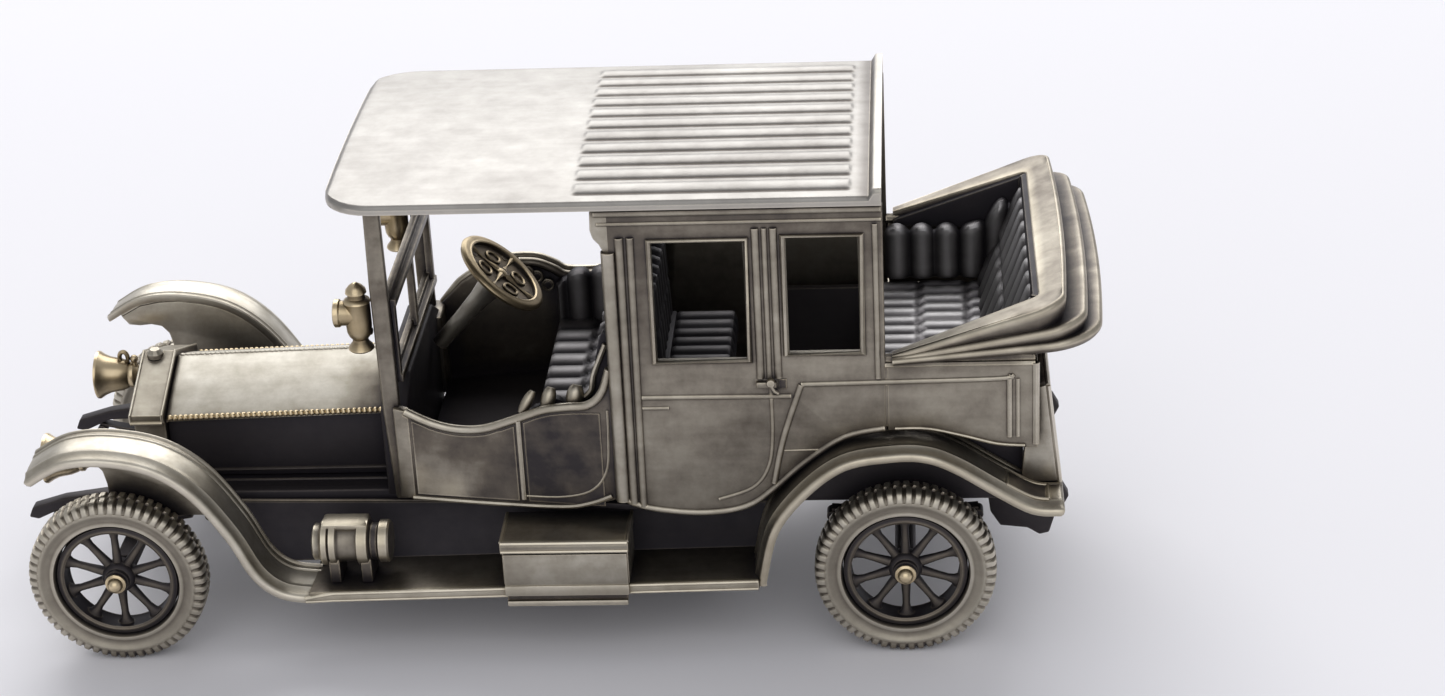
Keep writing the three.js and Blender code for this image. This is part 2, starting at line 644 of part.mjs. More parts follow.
// The lining closes the space between the folds and the body.
function hoodLining() {
  const overlap = 0.1;
  const thickness = 0.6;
  const outer = [[hoodHinge[0], hoodFrontInnerY + overlap], [hoodInnerX - overlap, hoodInnerY + overlap]];
  const inner = [[hoodInnerX + thickness, hoodInnerY - thickness], [hoodHinge[0], hoodFrontInnerY - thickness]];
  const across = (points) => points.map(([x, y]) => [x, -y]).reverse();
  const plan = planSlab([...outer, ...across(outer), ...across(inner), ...inner], 20, 35);
  const side = sideSlab([[hoodHinge[0], tubTop + gap], [hoodHinge[0], 25.9], [hoodInnerX - 1, 30.2],
    [hoodInnerX - 1, tubTop + gap]], -20, 20);
  return common(plan, side);
}

add('folded_hood', join(...hoodFolds.map(hoodFold), hoodLining()), silver);

export default car;
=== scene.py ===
"""Looks of the silver landaulette miniature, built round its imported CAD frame.

Shapes are worked out in millimetres in the frame of the CAD model (+X front of the car, +Y its
left side, +Z up, the ground at z = 0) and turned into metres when a piece is made. Each piece
carries a "wear" value on its points: 0 is a dark oxidised recess, 1 a bright rubbed edge.
"""

import math

import bmesh
import bpy
from mathutils import Matrix, Vector


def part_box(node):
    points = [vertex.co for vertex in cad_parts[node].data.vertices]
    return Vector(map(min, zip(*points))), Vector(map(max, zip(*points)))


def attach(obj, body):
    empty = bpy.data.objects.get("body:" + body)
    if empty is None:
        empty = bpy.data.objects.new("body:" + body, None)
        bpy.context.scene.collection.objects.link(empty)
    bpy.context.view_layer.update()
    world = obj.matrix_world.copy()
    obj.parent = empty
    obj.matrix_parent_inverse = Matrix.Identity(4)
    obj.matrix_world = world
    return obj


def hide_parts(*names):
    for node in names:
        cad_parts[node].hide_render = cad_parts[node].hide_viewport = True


MM = 0.001
WELD = 0.0004 * MM      # points of a form that are closer than this are one point
CAD_WELD = 0.002 * MM   # the same for the points of a CAD mesh
SIDES = ("left", "right")

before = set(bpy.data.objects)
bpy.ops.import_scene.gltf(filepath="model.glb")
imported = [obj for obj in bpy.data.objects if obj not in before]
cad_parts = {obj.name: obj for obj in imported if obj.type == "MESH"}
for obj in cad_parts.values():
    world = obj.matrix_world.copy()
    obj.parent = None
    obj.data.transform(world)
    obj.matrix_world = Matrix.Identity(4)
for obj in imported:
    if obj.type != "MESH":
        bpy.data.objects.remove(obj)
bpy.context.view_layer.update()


# ---- Places in the frame ----
def span(node):
    """Lowest and highest corner of a CAD node, in millimetres."""
    low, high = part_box(node)
    return low / MM, high / MM


def middle(node):
    low, high = span(node)
    return (low + high) / 2


# ---- Mesh building ----
class Form:
    """Points, faces and wear of a piece that is being built, in millimetres."""

    def __init__(self, wear=0.5):
        self.points = []
        self.faces = []
        self.wear = []
        self.usual_wear = wear

    def grid(self, rows, wrap=False, loop=False):
        """Quads between rows of points. A point's fourth number, if any, is its wear."""
        start = len(self.points)
        width = len(rows[0])
        for row in rows:
            for point in row:
                self.points.append(Vector(point[:3]))
                self.wear.append(point[3] if len(point) > 3 else self.usual_wear)
        for i in range(len(rows) if loop else len(rows) - 1):
            for j in range(width if wrap else width - 1):
                i_next = (i + 1) % len(rows)
                j_next = (j + 1) % width
                self.faces.append((start + i * width + j, start + i * width + j_next,
                                   start + i_next * width + j_next, start + i_next * width + j))
        return start

    def loft(self, rings, loop=False):
        """A closed skin over rings of points, with flat ends."""
        start = self.grid(rings, wrap=True, loop=loop)
        width = len(rings[0])
        if not loop:
            last = start + (len(rings) - 1) * width
            self.faces.append(tuple(range(start, start + width)))
            self.faces.append(tuple(range(last, last + width)))

    def tube(self, path, radius, sides=8, wear=1.0, loop=False):
        """A round bar along a path. The radius is a number, or a function of 0 to 1 along it."""
        path = [Vector(p) for p in path]
        count = len(path)
        rings = []
        side = None
        for i, point in enumerate(path):
            before = path[i - 1] if i or loop else point
            after = path[(i + 1) % count] if i + 1 < count or loop else point
            along = (after - before).normalized()
            if side is None:
                side = along.orthogonal().normalized()
            side = (side - along * side.dot(along)).normalized()
            other = along.cross(side)
            r = radius(i / (count - 1)) if callable(radius) else radius
            rings.append([(*(point + (side * math.cos(t) + other * math.sin(t)) * r), wear)
                          for t in turns(sides)])
        self.loft(rings, loop)

    def turned(self, profile, centre, axis, segments=48):
        """A turned shape: points of (radius, height, wear) about an axis through centre."""
        axis = Vector(axis).normalized()
        side = axis.orthogonal().normalized()
        other = axis.cross(side)
        centre = Vector(centre)
        rings = []
        for turn in turns(segments):
            out = side * math.cos(turn) + other * math.sin(turn)
            rings.append([(*(centre + out * p[0] + axis * p[1]), p[2] if len(p) > 2 else self.usual_wear)
                          for p in profile])
        closed = profile[0][0] > 0 and profile[-1][0] > 0
        self.grid(rings, wrap=closed, loop=True)

    def block(self, low, high, rounding=0.15, wear=None):
        """A box with rounded edges."""
        made = bmesh.new()
        bmesh.ops.create_cube(made, size=1)
        low, high = Vector(low), Vector(high)
        for v in made.verts:
            v.co = Vector(low[k] + (v.co[k] + 0.5) * (high[k] - low[k]) for k in range(3))
        self.take(made, rounding, wear)

    def slab(self, outline, place, low, high, rounding=0.12, wear=None):
        """An outline as thick as low to high, put in space by place(a, b, depth)."""
        made = bmesh.new()
        near = [made.verts.new(place(a, b, low)) for a, b in outline]
        far = [made.verts.new(place(a, b, high)) for a, b in outline]
        made.faces.new(near)
        made.faces.new(far)
        for i in range(len(outline)):
            j = (i + 1) % len(outline)
            made.faces.new((near[i], near[j], far[j], far[i]))
        self.take(made, rounding, wear)

    def take(self, made, rounding, wear=None):
        """Rounds the sharp edges of a bmesh, adds it to the form and frees it."""
        bmesh.ops.recalc_face_normals(made, faces=made.faces)
        round_edges(made, rounding)
        start = len(self.points)
        made.verts.index_update()
        self.points += [v.co.copy() for v in made.verts]
        self.wear += [self.usual_wear if wear is None else wear] * len(made.verts)
        self.faces += [tuple(start + v.index for v in f.verts) for f in made.faces]
        made.free()

    def mirrored(self):
        """The same form on the other side of the car."""
        copy = Form(self.usual_wear)
        copy.points = [Vector((p.x, -p.y, p.z)) for p in self.points]
        copy.faces = [tuple(reversed(f)) for f in self.faces]
        copy.wear = list(self.wear)
        return copy

    def on_side(self, side_name):
        """A form made for the left side, put on the side that is named."""
        return self.mirrored() if side_name == "right" else self

    def moved(self, matrix):
        self.points = [matrix @ p for p in self.points]
        return self


def turns(count):
    return [2 * math.pi * i / count for i in range(count)]


def round_edges(made, width, segments=2, sharp=math.radians(24)):
    """Bevels every edge of a bmesh that is sharper than sharp."""
    if width <= 0:
        return
    edges = [e for e in made.edges if len(e.link_faces) == 2 and e.calc_face_angle(0) > sharp]
    bmesh.ops.bevel(made, geom=edges, offset=width, offset_type="OFFSET", segments=segments,
                    profile=0.5, affect="EDGES", clamp_overlap=True)


def piece(name, form, material, body="root", replaces=(), crease=40):
    """Makes the object of a form: closed, smooth apart from its creases, riding on its body."""
    made = bmesh.new()
    wear = made.verts.layers.float.new("wear")
    for point, value in zip(form.points, form.wear):
        made.verts.new(point * MM)[wear] = value
    made.verts.ensure_lookup_table()
    for face in form.faces:
        corners = [made.verts[i] for i in face]
        if made.faces.get(corners) is None:
            made.faces.new(corners)
    bmesh.ops.remove_doubles(made, verts=made.verts, dist=WELD)
    bmesh.ops.dissolve_degenerate(made, edges=made.edges, dist=WELD)
    bmesh.ops.recalc_face_normals(made, faces=made.faces)
    return finished(name, made, material, body, replaces, crease)


def finished(name, made, material, body, replaces, crease):
    """Turns a bmesh into an object with its material and the body it rides on."""
    mesh = bpy.data.meshes.new(name)
    made.to_mesh(mesh)
    made.free()
    mesh.materials.append(material["shader"])
    mesh.polygons.foreach_set("use_smooth", [True] * len(mesh.polygons))
    mesh.set_sharp_from_angle(angle=math.radians(crease))
    thing = bpy.data.objects.new(name, mesh)
    bpy.context.scene.collection.objects.link(thing)
    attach(thing, body)
    if replaces:
        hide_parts(*replaces)
    return thing


def refined(node, material, rounding=0.15, wear=0.5, body="root", crease=40):
    """A CAD node's shape with its flats joined up and its edges softly rounded.

    wear is one value, or a function that gives the value at a point.
    """
    made = bmesh.new()
    made.from_mesh(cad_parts[node].data)
    bmesh.ops.remove_doubles(made, verts=made.verts, dist=CAD_WELD)
    bmesh.ops.dissolve_limit(made, angle_limit=math.radians(1), verts=made.verts, edges=made.edges)
    round_edges(made, rounding * MM)
    layer = made.verts.layers.float.new("wear")
    for v in made.verts:
        v[layer] = wear(v.co) if callable(wear) else wear
    return finished(f"{node}_skin", made, material, body, [node], crease)


def smooth_step(x, low=0.0, high=1.0):
    t = min(1.0, max(0.0, (x - low) / (high - low)))
    return t * t * (3 - 2 * t)


def mix(a, b, t):
    return a + (b - a) * t


def spline(points, steps):
    """A smooth curve through points, as lists of the same length, with steps spans in all."""
    count = len(points)
    curve = []
    for i in range(steps + 1):
        p = i / steps * (count - 1)
        k = min(int(p), count - 2)
        t = p - k
        a, b, c, d = (points[min(max(k + n, 0), count - 1)] for n in (-1, 0, 1, 2))
        curve.append([0.5 * ((2 * q) + (r - o) * t + (2 * o - 5 * q + 4 * r - s) * t * t
                             + (3 * q - o - 3 * r + s) * t ** 3) for o, q, r, s in zip(a, b, c, d)])
    return curve


# ---- Materials ----
corner_reach = 1.6      # how far a corner darkens what is beside it, in millimetres
corner_shade = 1.6      # how strongly a corner keeps its edges from being rubbed
edge_reach = 0.22       # how wide the rubbed line along an edge is, in millimetres
edge_gain = 6.0         # how sharp an edge has to be before it is rubbed
proud_wear = 0.72       # wear above which an open surface takes on the rubbed tone
proud_gain = 2.2


def antique(name, slot, level, tints, relief=0.5, grime=1.0, rub=0.6, gloss=(0.26, 0.5),
            patch=0.35, tone=(0.52, 0.44, 0.31)):
    """Cast metal that was darkened and then rubbed bright again.

    level is how bright the open surface is, from 0 to 1. tints are its colours from the darkest
    recess to the brightest high spot. grime darkens the corners, rub brightens the edges to tone.
    """
    shader = bpy.data.materials.new(name)
    shader.use_nodes = True
    tree = shader.node_tree
    nodes, links = tree.nodes, tree.links
    surface = nodes["Principled BSDF"]

    def node(kind, **settings):
        made = nodes.new(kind)
        for key, value in settings.items():
            setattr(made, key, value)
        return made

    def calculate(operation, first, second, clamp=False):
        made = node("ShaderNodeMath", operation=operation, use_clamp=clamp)
        for socket, value in zip(made.inputs, (first, second)):
            if isinstance(value, (int, float)):
                socket.default_value = value
            else:
                links.new(value, socket)
        return made.outputs[0]

    def add(first, second, clamp=False):
        return calculate("ADD", first, second, clamp)

    def minus(first, second):
        return calculate("SUBTRACT", first, second)

    def times(first, second, clamp=False):
        return calculate("MULTIPLY", first, second, clamp)

    def swing(field, amount):
        """A noise field as a change up and down by half of amount."""
        return times(minus(field, 0.5), amount)

    def noise(scale, detail, roughness=0.55, stretch=(1, 1, 1)):
        placed = node("ShaderNodeMapping")
        placed.inputs["Scale"].default_value = stretch
        links.new(place.outputs["Object"], placed.inputs["Vector"])
        made = node("ShaderNodeTexNoise")
        made.inputs["Scale"].default_value = scale
        made.inputs["Detail"].default_value = detail
        made.inputs["Roughness"].default_value = roughness
        links.new(placed.outputs["Vector"], made.inputs["Vector"])
        return made.outputs["Fac"]

    # Noise in waves per metre: tarnish clouds, blotches, the grain of the casting and fine scratches.
    place = node("ShaderNodeTexCoord")
    clouds = noise(95, 3)
    mottle = noise(520, 5, 0.65)
    grain = noise(3200, 3)
    scratches = noise(900, 2, stretch=(0.12, 1, 1))

    # hidden is 1 deep in a corner, where the oxide stays.
    worn = node("ShaderNodeAttribute", attribute_name="wear").outputs["Fac"]
    corner = node("ShaderNodeAmbientOcclusion", samples=6)
    corner.inputs["Distance"].default_value = corner_reach * MM
    hidden = minus(1.0, corner.outputs["AO"])

    # edge is 1 along an outer edge, where the metal is rubbed bright.
    soft = node("ShaderNodeBevel", samples=4)
    soft.inputs["Radius"].default_value = edge_reach * MM
    facing = node("ShaderNodeVectorMath", operation="DOT_PRODUCT")
    shape = node("ShaderNodeNewGeometry")
    links.new(soft.outputs["Normal"], facing.inputs[0])
    links.new(shape.outputs["Normal"], facing.inputs[1])
    turned_away = minus(1.0, facing.outputs["Value"])
    edge = times(turned_away, edge_gain, clamp=True)
    edge = times(edge, minus(1.0, times(hidden, corner_shade, clamp=True)))

    value = add(level - 0.5 * relief, times(worn, relief))
    for field, share in ((clouds, 1.0), (mottle, 0.7), (scratches, 0.35)):
        value = add(value, swing(field, patch * share))
    value = minus(value, times(hidden, grime))
    value = add(value, times(edge, rub * 0.5), clamp=True)

    ramp = node("ShaderNodeValToRGB")
    stops = ramp.color_ramp.elements
    while len(stops) < len(tints):
        stops.new(0.5)
    for i, (stop, tint) in enumerate(zip(stops, tints)):
        stop.position = i / (len(tints) - 1)
        stop.color = (*tint, 1)
    links.new(value, ramp.inputs["Fac"])

    warm = node("ShaderNodeMix", data_type="RGBA")
    proud = times(minus(worn, proud_wear), proud_gain, clamp=True)
    amount = times(calculate("MAXIMUM", edge, proud), rub, clamp=True)
    amount = times(amount, add(0.35, mottle), clamp=True)
    links.new(amount, warm.inputs["Factor"])
    links.new(ramp.outputs["Color"], warm.inputs["A"])
    warm.inputs["B"].default_value = (*tone, 1)
    links.new(warm.outputs["Result"], surface.inputs["Base Color"])

    dull = node("ShaderNodeMapRange")
    dull.inputs["To Min"].default_value = gloss[1]
    dull.inputs["To Max"].default_value = gloss[0]
    links.new(add(value, swing(mottle, 0.5)), dull.inputs["Value"])
    links.new(dull.outputs["Result"], surface.inputs["Roughness"])

    metallic = node("ShaderNodeMapRange")
    metallic.inputs["From Max"].default_value = 0.35
    metallic.inputs["To Min"].default_value = 0.55
    metallic.inputs["To Max"].default_value = 0.97
    links.new(value, metallic.inputs["Value"])
    links.new(metallic.outputs["Result"], surface.inputs["Metallic"])

    bump = node("ShaderNodeBump")
    bump.inputs["Strength"].default_value = 0.35
    bump.inputs["Distance"].default_value = 0.03 * MM
    height = add(times(mottle, 1.2), times(grain, 0.5))
    links.new(add(height, times(scratches, 0.5)), bump.inputs["Height"])
    links.new(bump.outputs["Normal"], surface.inputs["Normal"])
    return {"shader": shader, "slot": slot}


OXIDE = (0.018, 0.015, 0.020)
SOOT = (0.050, 0.044, 0.046)
PEWTER = (0.165, 0.142, 0.116)
SILVER = (0.40, 0.365, 0.30)
BRIGHT = (0.70, 0.665, 0.59)
silver_tints = [OXIDE, SOOT, PEWTER, SILVER, BRIGHT]
gilt_tints = [(0.020, 0.015, 0.013), (0.075, 0.056, 0.042), (0.22, 0.17, 0.105), (0.43, 0.34, 0.21),
              (0.64, 0.53, 0.36)]
cool_tints = [OXIDE, (0.048, 0.045, 0.050), (0.150, 0.141, 0.144), (0.36, 0.35, 0.35), (0.62, 0.60, 0.58)]
roof_tints = [OXIDE, (0.055, 0.046, 0.044), (0.165, 0.150, 0.137), (0.40, 0.385, 0.362), (0.68, 0.665, 0.63)]


def silver(name, level, tints=silver_tints, **settings):
    """Polished silver, with the gloss that most of it has."""
    return antique(name, "polished_silver", level, tints, **{"gloss": (0.36, 0.55), **settings})


def upholstery(name, level, **settings):
    """The cooler, duller silver of the cast seats."""
    usual = {"relief": 0.5, "grime": 0.45, "patch": 0.16, "rub": 0.1, "gloss": (0.45, 0.6)}
    return antique(name, "upholstery_silver", level, cool_tints, tone=(0.3, 0.29, 0.28),
                   **{**usual, **settings})


bright = silver("bright_silver", 0.61, roof_tints, relief=0.4, grime=0.5, patch=0.22, gloss=(0.38, 0.5))
hooding = silver("hood_silver", 0.48, grime=0.7, patch=0.4)
satin = silver("satin_silver", 0.71, grime=0.8, patch=0.45)
rubbed = silver("rubbed_silver", 0.80, grime=0.8, patch=0.45)
aged = silver("aged_silver", 0.63, relief=0.45, grime=0.7, patch=0.46, rub=0.7, gloss=(0.32, 0.55),
              tone=(0.56, 0.47, 0.31))
dusky = antique("dusky_silver", "oxidised_silver", 0.44, silver_tints, relief=0.45, grime=0.8, patch=0.5,
                gloss=(0.32, 0.52))
oxidised = antique("oxidised_metal", "oxidised_silver", 0.20, silver_tints, grime=0.5, patch=0.24,
                   rub=0.25, gloss=(0.38, 0.6))
# Lit and shaded copies of the same seat silver: the open rear seat's paler copy is painted light, and the
# darker copy for the jump seat inside the closed cabin is painted shade.
quilted_painted_light = upholstery("pale_quilted_silver", 0.50, patch=0.2, gloss=(0.4, 0.55))
quilted_painted_shade = upholstery("dark_quilted_silver", 0.19, relief=0.4)
quilted = upholstery("quilted_silver", 0.36)
tread = antique("tread_metal", "tread_silver", 0.70, silver_tints, relief=0.4, grime=0.6, patch=0.25,
                gloss=(0.42, 0.6))
gilt = antique("gilt_metal", "gilt", 0.82, gilt_tints, grime=1.0, patch=0.4, gloss=(0.28, 0.5),
               tone=(0.62, 0.48, 0.27))
bronzed = antique("bronzed_gilt", "gilt", 0.50, gilt_tints, relief=0.55, grime=0.8, patch=0.4,
                  gloss=(0.35, 0.55), tone=(0.42, 0.35, 0.22))


# ---- Wheels ----
lug_count = 58
lug_depth = 0.2
lug_steps = 8           # stations round the tyre for one lug and its gap
spoke_count = 10
spoke_sides = 10


def tyre_form(radius, inner_radius, half_width):
    """A tyre with cross lugs that wrap over both shoulders, about the Y axis."""
    # From the bead to the middle of the tread: depth below the tread or height above the bead,
    # share of the half width, how far the lugs reach there, wear.
    bead = [(0, 0.70, 0, 0.3), (0.12, 0.84, 0, 0.7), (0.32, 0.86, 0, 0.8), (0.48, 0.80, 0, 0.3),
            (0.95, 0.92, 0, 0.45)]
    shoulder = [(1.12, 0.98, 0, 0.5), (1.0, 1.0, 0, 0.62), (0.86, 0.985, 0, 0.5), (0.72, 0.975, 0.75, 0.8),
                (0.42, 0.92, 1, 0.85), (0.16, 0.80, 1, 0.95), (0.03, 0.60, 1, 0.85), (0, 0.35, 1, 0.7),
                (0, 0.08, 1, 0.6), (0.1, 0.0, 1, 0.3)]
    wall = [(inner_radius + up, y, lug, wear) for up, y, lug, wear in bead]
    wall += [(radius - down, y, lug, wear) for down, y, lug, wear in shoulder]
    other = [(r, -y, lug, wear) for r, y, lug, wear in wall[-2::-1]]
    form = Form()
    rows = []
    for turn in turns(lug_count * lug_steps):
        row = []
        for r, y, lug, wear in wall + other:
            phase = lug_count * turn + (0.5 * math.pi if y < 0 else 0)
            depth = lug * (1 - smooth_step(math.cos(phase), -0.9, -0.35))
            r = r - lug_depth * depth
            y = y * half_width * (1 - 0.06 * depth)
            row.append((r * math.cos(turn), y, r * math.sin(turn), wear * (1 - 0.7 * depth)))
        rows.append(row)
    form.grid(rows, wrap=True, loop=True)
    return form


def wheel_form(rim_outer, rim_inner, half_width, bore):
    """Rim, tapered spokes and a pierced hub, about the Y axis."""
    form = Form(0.45)
    h = half_width
    axis = (0, 1, 0)
    rim = [(rim_inner, -h, 0.5), (rim_inner + 0.18, -h - 0.1, 0.9), (rim_outer - 0.05, -h, 0.5),
           (rim_outer, -h + 0.2, 0.3), (rim_outer, h - 0.2, 0.3), (rim_outer - 0.05, h, 0.5),
           (rim_inner + 0.22, h + 0.12, 0.95), (rim_inner + 0.02, h + 0.02, 0.7),
           (rim_inner + 0.1, h - 0.3, 0.2), (rim_inner, 0, 0.15), (rim_inner + 0.1, 0.3 - h, 0.2)]
    form.turned(rim, (0, 0, 0), axis, 72)
    hub = [(bore, -1.1), (1.0, -1.1), (1.25, -0.85), (1.35, -0.3), (1.35, 0.45), (1.2, 0.7), (1.02, 0.8),
           (0.98, 1.15), (bore, 1.2)]
    form.turned(hub, (0, 0, 0), axis, 40)
    # Along a spoke: distance from the axle, half width, half thickness.
    stations = [(0.95, 0.42, 0.42), (1.6, 0.40, 0.38), (2.6, 0.33, 0.32), (3.5, 0.31, 0.30),
                (4.0, 0.42, 0.34), (rim_inner + 0.2, 0.85, 0.44)]
    for turn in turns(spoke_count):
        turn += math.pi / spoke_count
        out = Vector((math.cos(turn), 0, math.sin(turn)))
        side = Vector((-math.sin(turn), 0, math.cos(turn)))
        rings = []
        for r, half, thick in stations:
            rings.append([(*(out * r + side * half * math.cos(t) + Vector((0, thick * math.sin(t), 0))),
                           0.5 + 0.35 * math.sin(t)) for t in turns(spoke_sides)])
        form.loft(rings)
    return form


def hub_cap_form(radius, height):
    form = Form(0.85)
    dome = [(0, 0), (radius, 0), (radius + 0.04, 0.06), (radius + 0.04, 0.24), (radius - 0.1, 0.32),
            (radius * 0.80, 0.34), (radius * 0.74, 0.5), (radius * 0.62, height * 0.78),
            (radius * 0.36, height * 0.95), (0, height)]
    form.turned(dome, (0, 0, 0), (0, 1, 0), 40)
    return form


def build_wheel(place):
    """The tyre, the spoked wheel and the hub cap of one place, each turned to face outwards."""
    body = f"wheel_{place}_body"
    centre = middle(f"tyre_{place}")
    tyre_low, tyre_high = span(f"tyre_{place}")
    rim_low, rim_high = span(f"wheel_{place}")
    cap_low, cap_high = span(f"hub_cap_{place}")
    on_left = centre.y > 0
    facing = Matrix.Rotation(0 if on_left else math.pi, 4, "Z")
    turn = Matrix.Translation(centre) @ facing
    rim_outer = (rim_high.z - rim_low.z) / 2
    rim_depth, rim_half_width, bore = 0.65, 0.9, 0.56
    tyre_gap, cap_gap = 0.1, 0.04
    tyre = tyre_form((tyre_high.z - tyre_low.z) / 2, rim_outer + tyre_gap, (tyre_high.y - tyre_low.y) / 2)
    piece(f"tyre_{place}_tread", tyre.moved(turn), tread, body, [f"tyre_{place}"], crease=50)
    wheel = wheel_form(rim_outer, rim_outer - rim_depth, rim_half_width, bore)
    piece(f"wheel_{place}_spokes", wheel.moved(turn), oxidised, body, [f"wheel_{place}"])
    cap = hub_cap_form((cap_high.z - cap_low.z) / 2 - cap_gap, cap_high.y - cap_low.y)
    foot = Vector((centre.x, cap_low.y if on_left else cap_high.y, centre.z))
    cap.moved(Matrix.Translation(foot) @ facing)
    piece(f"hub_cap_{place}_dome", cap, gilt, body, [f"hub_cap_{place}"])


for wheel_place in ("front_left", "front_right", "rear_left", "rear_right"):
    build_wheel(wheel_place)


# ---- Chassis ----
def spring_form(node):
    """Four bowed leaves with a clamp on the axle and an eye at each end."""
    low, high = span(node)
    centre_x = (low.x + high.x) / 2
    y = (low.y + high.y) / 2
    eye = 0.42
    half_length = (high.x - low.x) / 2 - eye
    half_width = 0.48
    leaf = 0.2
    leaves = 4
    shorter = 0.23
    rise = max(0.1, high.z - low.z - 0.7)
    form = Form(0.45)
    for layer in range(leaves):
        reach = half_length * (1 - shorter * (leaves - 1 - layer))
        base = low.z + 0.05 + layer * (leaf + 0.02)
        rings = []
        for i in range(-12, 13):
            x = reach * i / 12
            z = base + rise * (x / half_length) ** 2
            rings.append([(centre_x + x, y - half_width, z), (centre_x + x, y + half_width, z),
                          (centre_x + x, y + half_width, z + leaf), (centre_x + x, y - half_width, z + leaf)])
        form.loft(rings)
    form.block((centre_x - 0.9, y - 0.6, low.z), (centre_x + 0.9, y + 0.6, low.z + 1.05), 0.12)
    for end in (-1, 1):
        place = (centre_x + end * half_length, y - 0.6, high.z - eye - 0.02)
        form.turned([(0, 0), (eye, 0), (eye, 1.2), (0, 1.2)], place, (0, 1, 0), 20)
    return form


for spring in ("front_spring_left", "front_spring_right", "rear_spring_left", "rear_spring_right"):
    piece(f"{spring}_leaves", spring_form(spring), oxidised, replaces=[spring])

for node_name in ("chassis_frame", "front_axle", "rear_axle", "body_floor"):
    refined(node_name, oxidised, 0.14)


# ---- Wings ----
front_wing_path = [(41.4, 16.9), (38.7, 18.35), (35.2, 18.6), (31.3, 17.7), (28.2, 15.4), (25.6, 11.6),
                   (23.8, 8.4), (21.9, 6.75), (19.4, 6.3)]
rear_wing_path = [(-17, 7.0), (-17.1, 7.9), (-18.2, 12.1), (-20.8, 15.5), (-23.9, 17.8), (-27.7, 18.5),
                  (-30.4, 18.4), (-32.8, 17.4), (-36.2, 15.2), (-38.8, 13.7), (-40.9, 13.5)]
wing_inner = span("front_wing_left")[0].y
wing_outer = span("front_wing_left")[1].y

# Across the wing, from its rolled outer lip to its beaded inner edge: y, height, wear.
wing_top = [(wing_outer - 0.12, -0.50, 1), (wing_outer - 0.02, -0.38, 1), (wing_outer, -0.2, 1),
            (wing_outer - 0.02, 0.0, 1), (wing_outer - 0.14, 0.14, 0.9), (16.62, 0.2, 0.62),
            (16.3, 0.3, 0.66), (16.05, 0.42, 0.75), (15.92, 0.5, 0.9), (15.8, 0.45, 0.6), (15.4, 0.48, 0.7),
            (14.9, 0.53, 0.74), (14.4, 0.55, 0.74), (13.8, 0.55, 0.68), (13.52, 0.54, 0.56),
            (13.42, 0.62, 0.85), (13.32, 0.64, 0.9), (13.22, 0.56, 0.5), (12.95, 0.55, 0.6),
            (12.78, 0.56, 0.55), (12.68, 0.68, 0.9), (12.52, 0.72, 1), (wing_inner, 0.62, 0.9)]
wing_under = [(wing_inner, 0.1, 0.1), (12.8, 0.0, 0.1), (14.8, -0.06, 0.1), (16.1, -0.16, 0.1),
              (16.5, -0.3, 0.2), (16.72, -0.5, 0.4)]
tail_x = (-40.0, -36.6)  # the sunken panel on the rear wing's tail
tail_y = (13.6, 15.8)
tail_margin = 0.1       # how far outside the panel its beads run
wing_middle = 14.7
wing_core = 0.1         # height, in the wing's thickness, that its free end closes on
wing_roundings = [(-0.34, 0.35), (-0.26, 0.75), (-0.1, 0.95)]   # along the path past its end, size


def wing_form(path, steps, round_front=False, tail_panel=False):
    """A wing along its path: rounded off at its free end, open to the running board at its foot."""
    curve = spline(path, steps)
    form = Form()
    rings = []
    stations = [(i, 0, 1) for i in range(steps + 1)]
    if round_front:
        stations = [(0, *r) for r in wing_roundings] + stations
    else:
        stations += [(steps, -push, size) for push, size in reversed(wing_roundings)]
    for i, push, size in stations:
        x, z = curve[i]
        before, after = curve[max(i - 1, 0)], curve[min(i + 1, steps)]
        along = Vector((after[0] - before[0], after[1] - before[1])).normalized()
        out = Vector((along.y, -along.x))
        ring = []
        for y, offset, wear in wing_top + wing_under:
            rise = wing_core + (offset - wing_core) * size
            narrowed_y = wing_middle + (y - wing_middle) * (0.94 + 0.06 * size)
            px = x + out.x * rise + along.x * push
            pz = z + out.y * rise + along.y * push
            if tail_panel and tail_x[0] < x < tail_x[1] and tail_y[0] < y < tail_y[1] and offset > 0.3:
                wear = 0.12
            ring.append((px, narrowed_y, pz, wear))
        rings.append(ring)
    form.loft(rings)
    return form


def side_place(a, b, depth):
    return Vector((a, depth, b))


wing_lifts = {"left": 0.5, "right": 0.85}


def front_wing_form(lift):
    """A front wing. lift raises all but its foot, as the two wings stand a little differently."""
    path = [(x, z + lift if z > 10 else z) for x, z in front_wing_path]
    form = wing_form(path, 56, round_front=True)
    crest = [(40.6, 17.3), (38.8, 18.3), (37, 18.65), (35.2, 18.7), (33.2, 18.4), (31.1, 17.85), (29.5, 16.8),
             (27.95, 15.45), (26.6, 13.7), (25.35, 11.9)]
    arch = [(36.2, 11.9), (36.25, 14.4), (36.5, 15.6), (37.1, 16.3), (38.0, 16.5), (39, 16.4), (40.0, 16.5)]
    flitch = [(x, z + lift if z > 12 else z) for x, z in crest + arch]
    ridge = [(x, wing_inner + 0.25, z + 0.1) for x, z in flitch[:len(crest)]]
    form.tube(ridge, 0.2, wear=0.9)
    form.slab(flitch, side_place, wing_inner + 0.02, wing_inner + 0.42, 0.1, wear=0.42)
    return form


def tail_panel_beads(form):
    """The beaded frame of the sunken panel on the rear wing's tail."""
    rear, front = tail_x[0] - tail_margin, tail_x[1] + tail_margin
    inner, outer = tail_y[0] - tail_margin, tail_y[1] + tail_margin
    along = [(x, z) for x, z in spline(rear_wing_path, 60) if rear < x < front]
    for y in (inner, outer):
        form.tube([(x, y, z + 0.52) for x, z in along], 0.14, wear=0.9)
    for x, z in (along[0], along[-1]):
        form.tube([(x, inner, z + 0.52), (x, outer, z + 0.5)], 0.14, wear=0.9)


def rear_wing_form():
    form = wing_form(rear_wing_path, 60, tail_panel=True)
    tail_panel_beads(form)
    return form


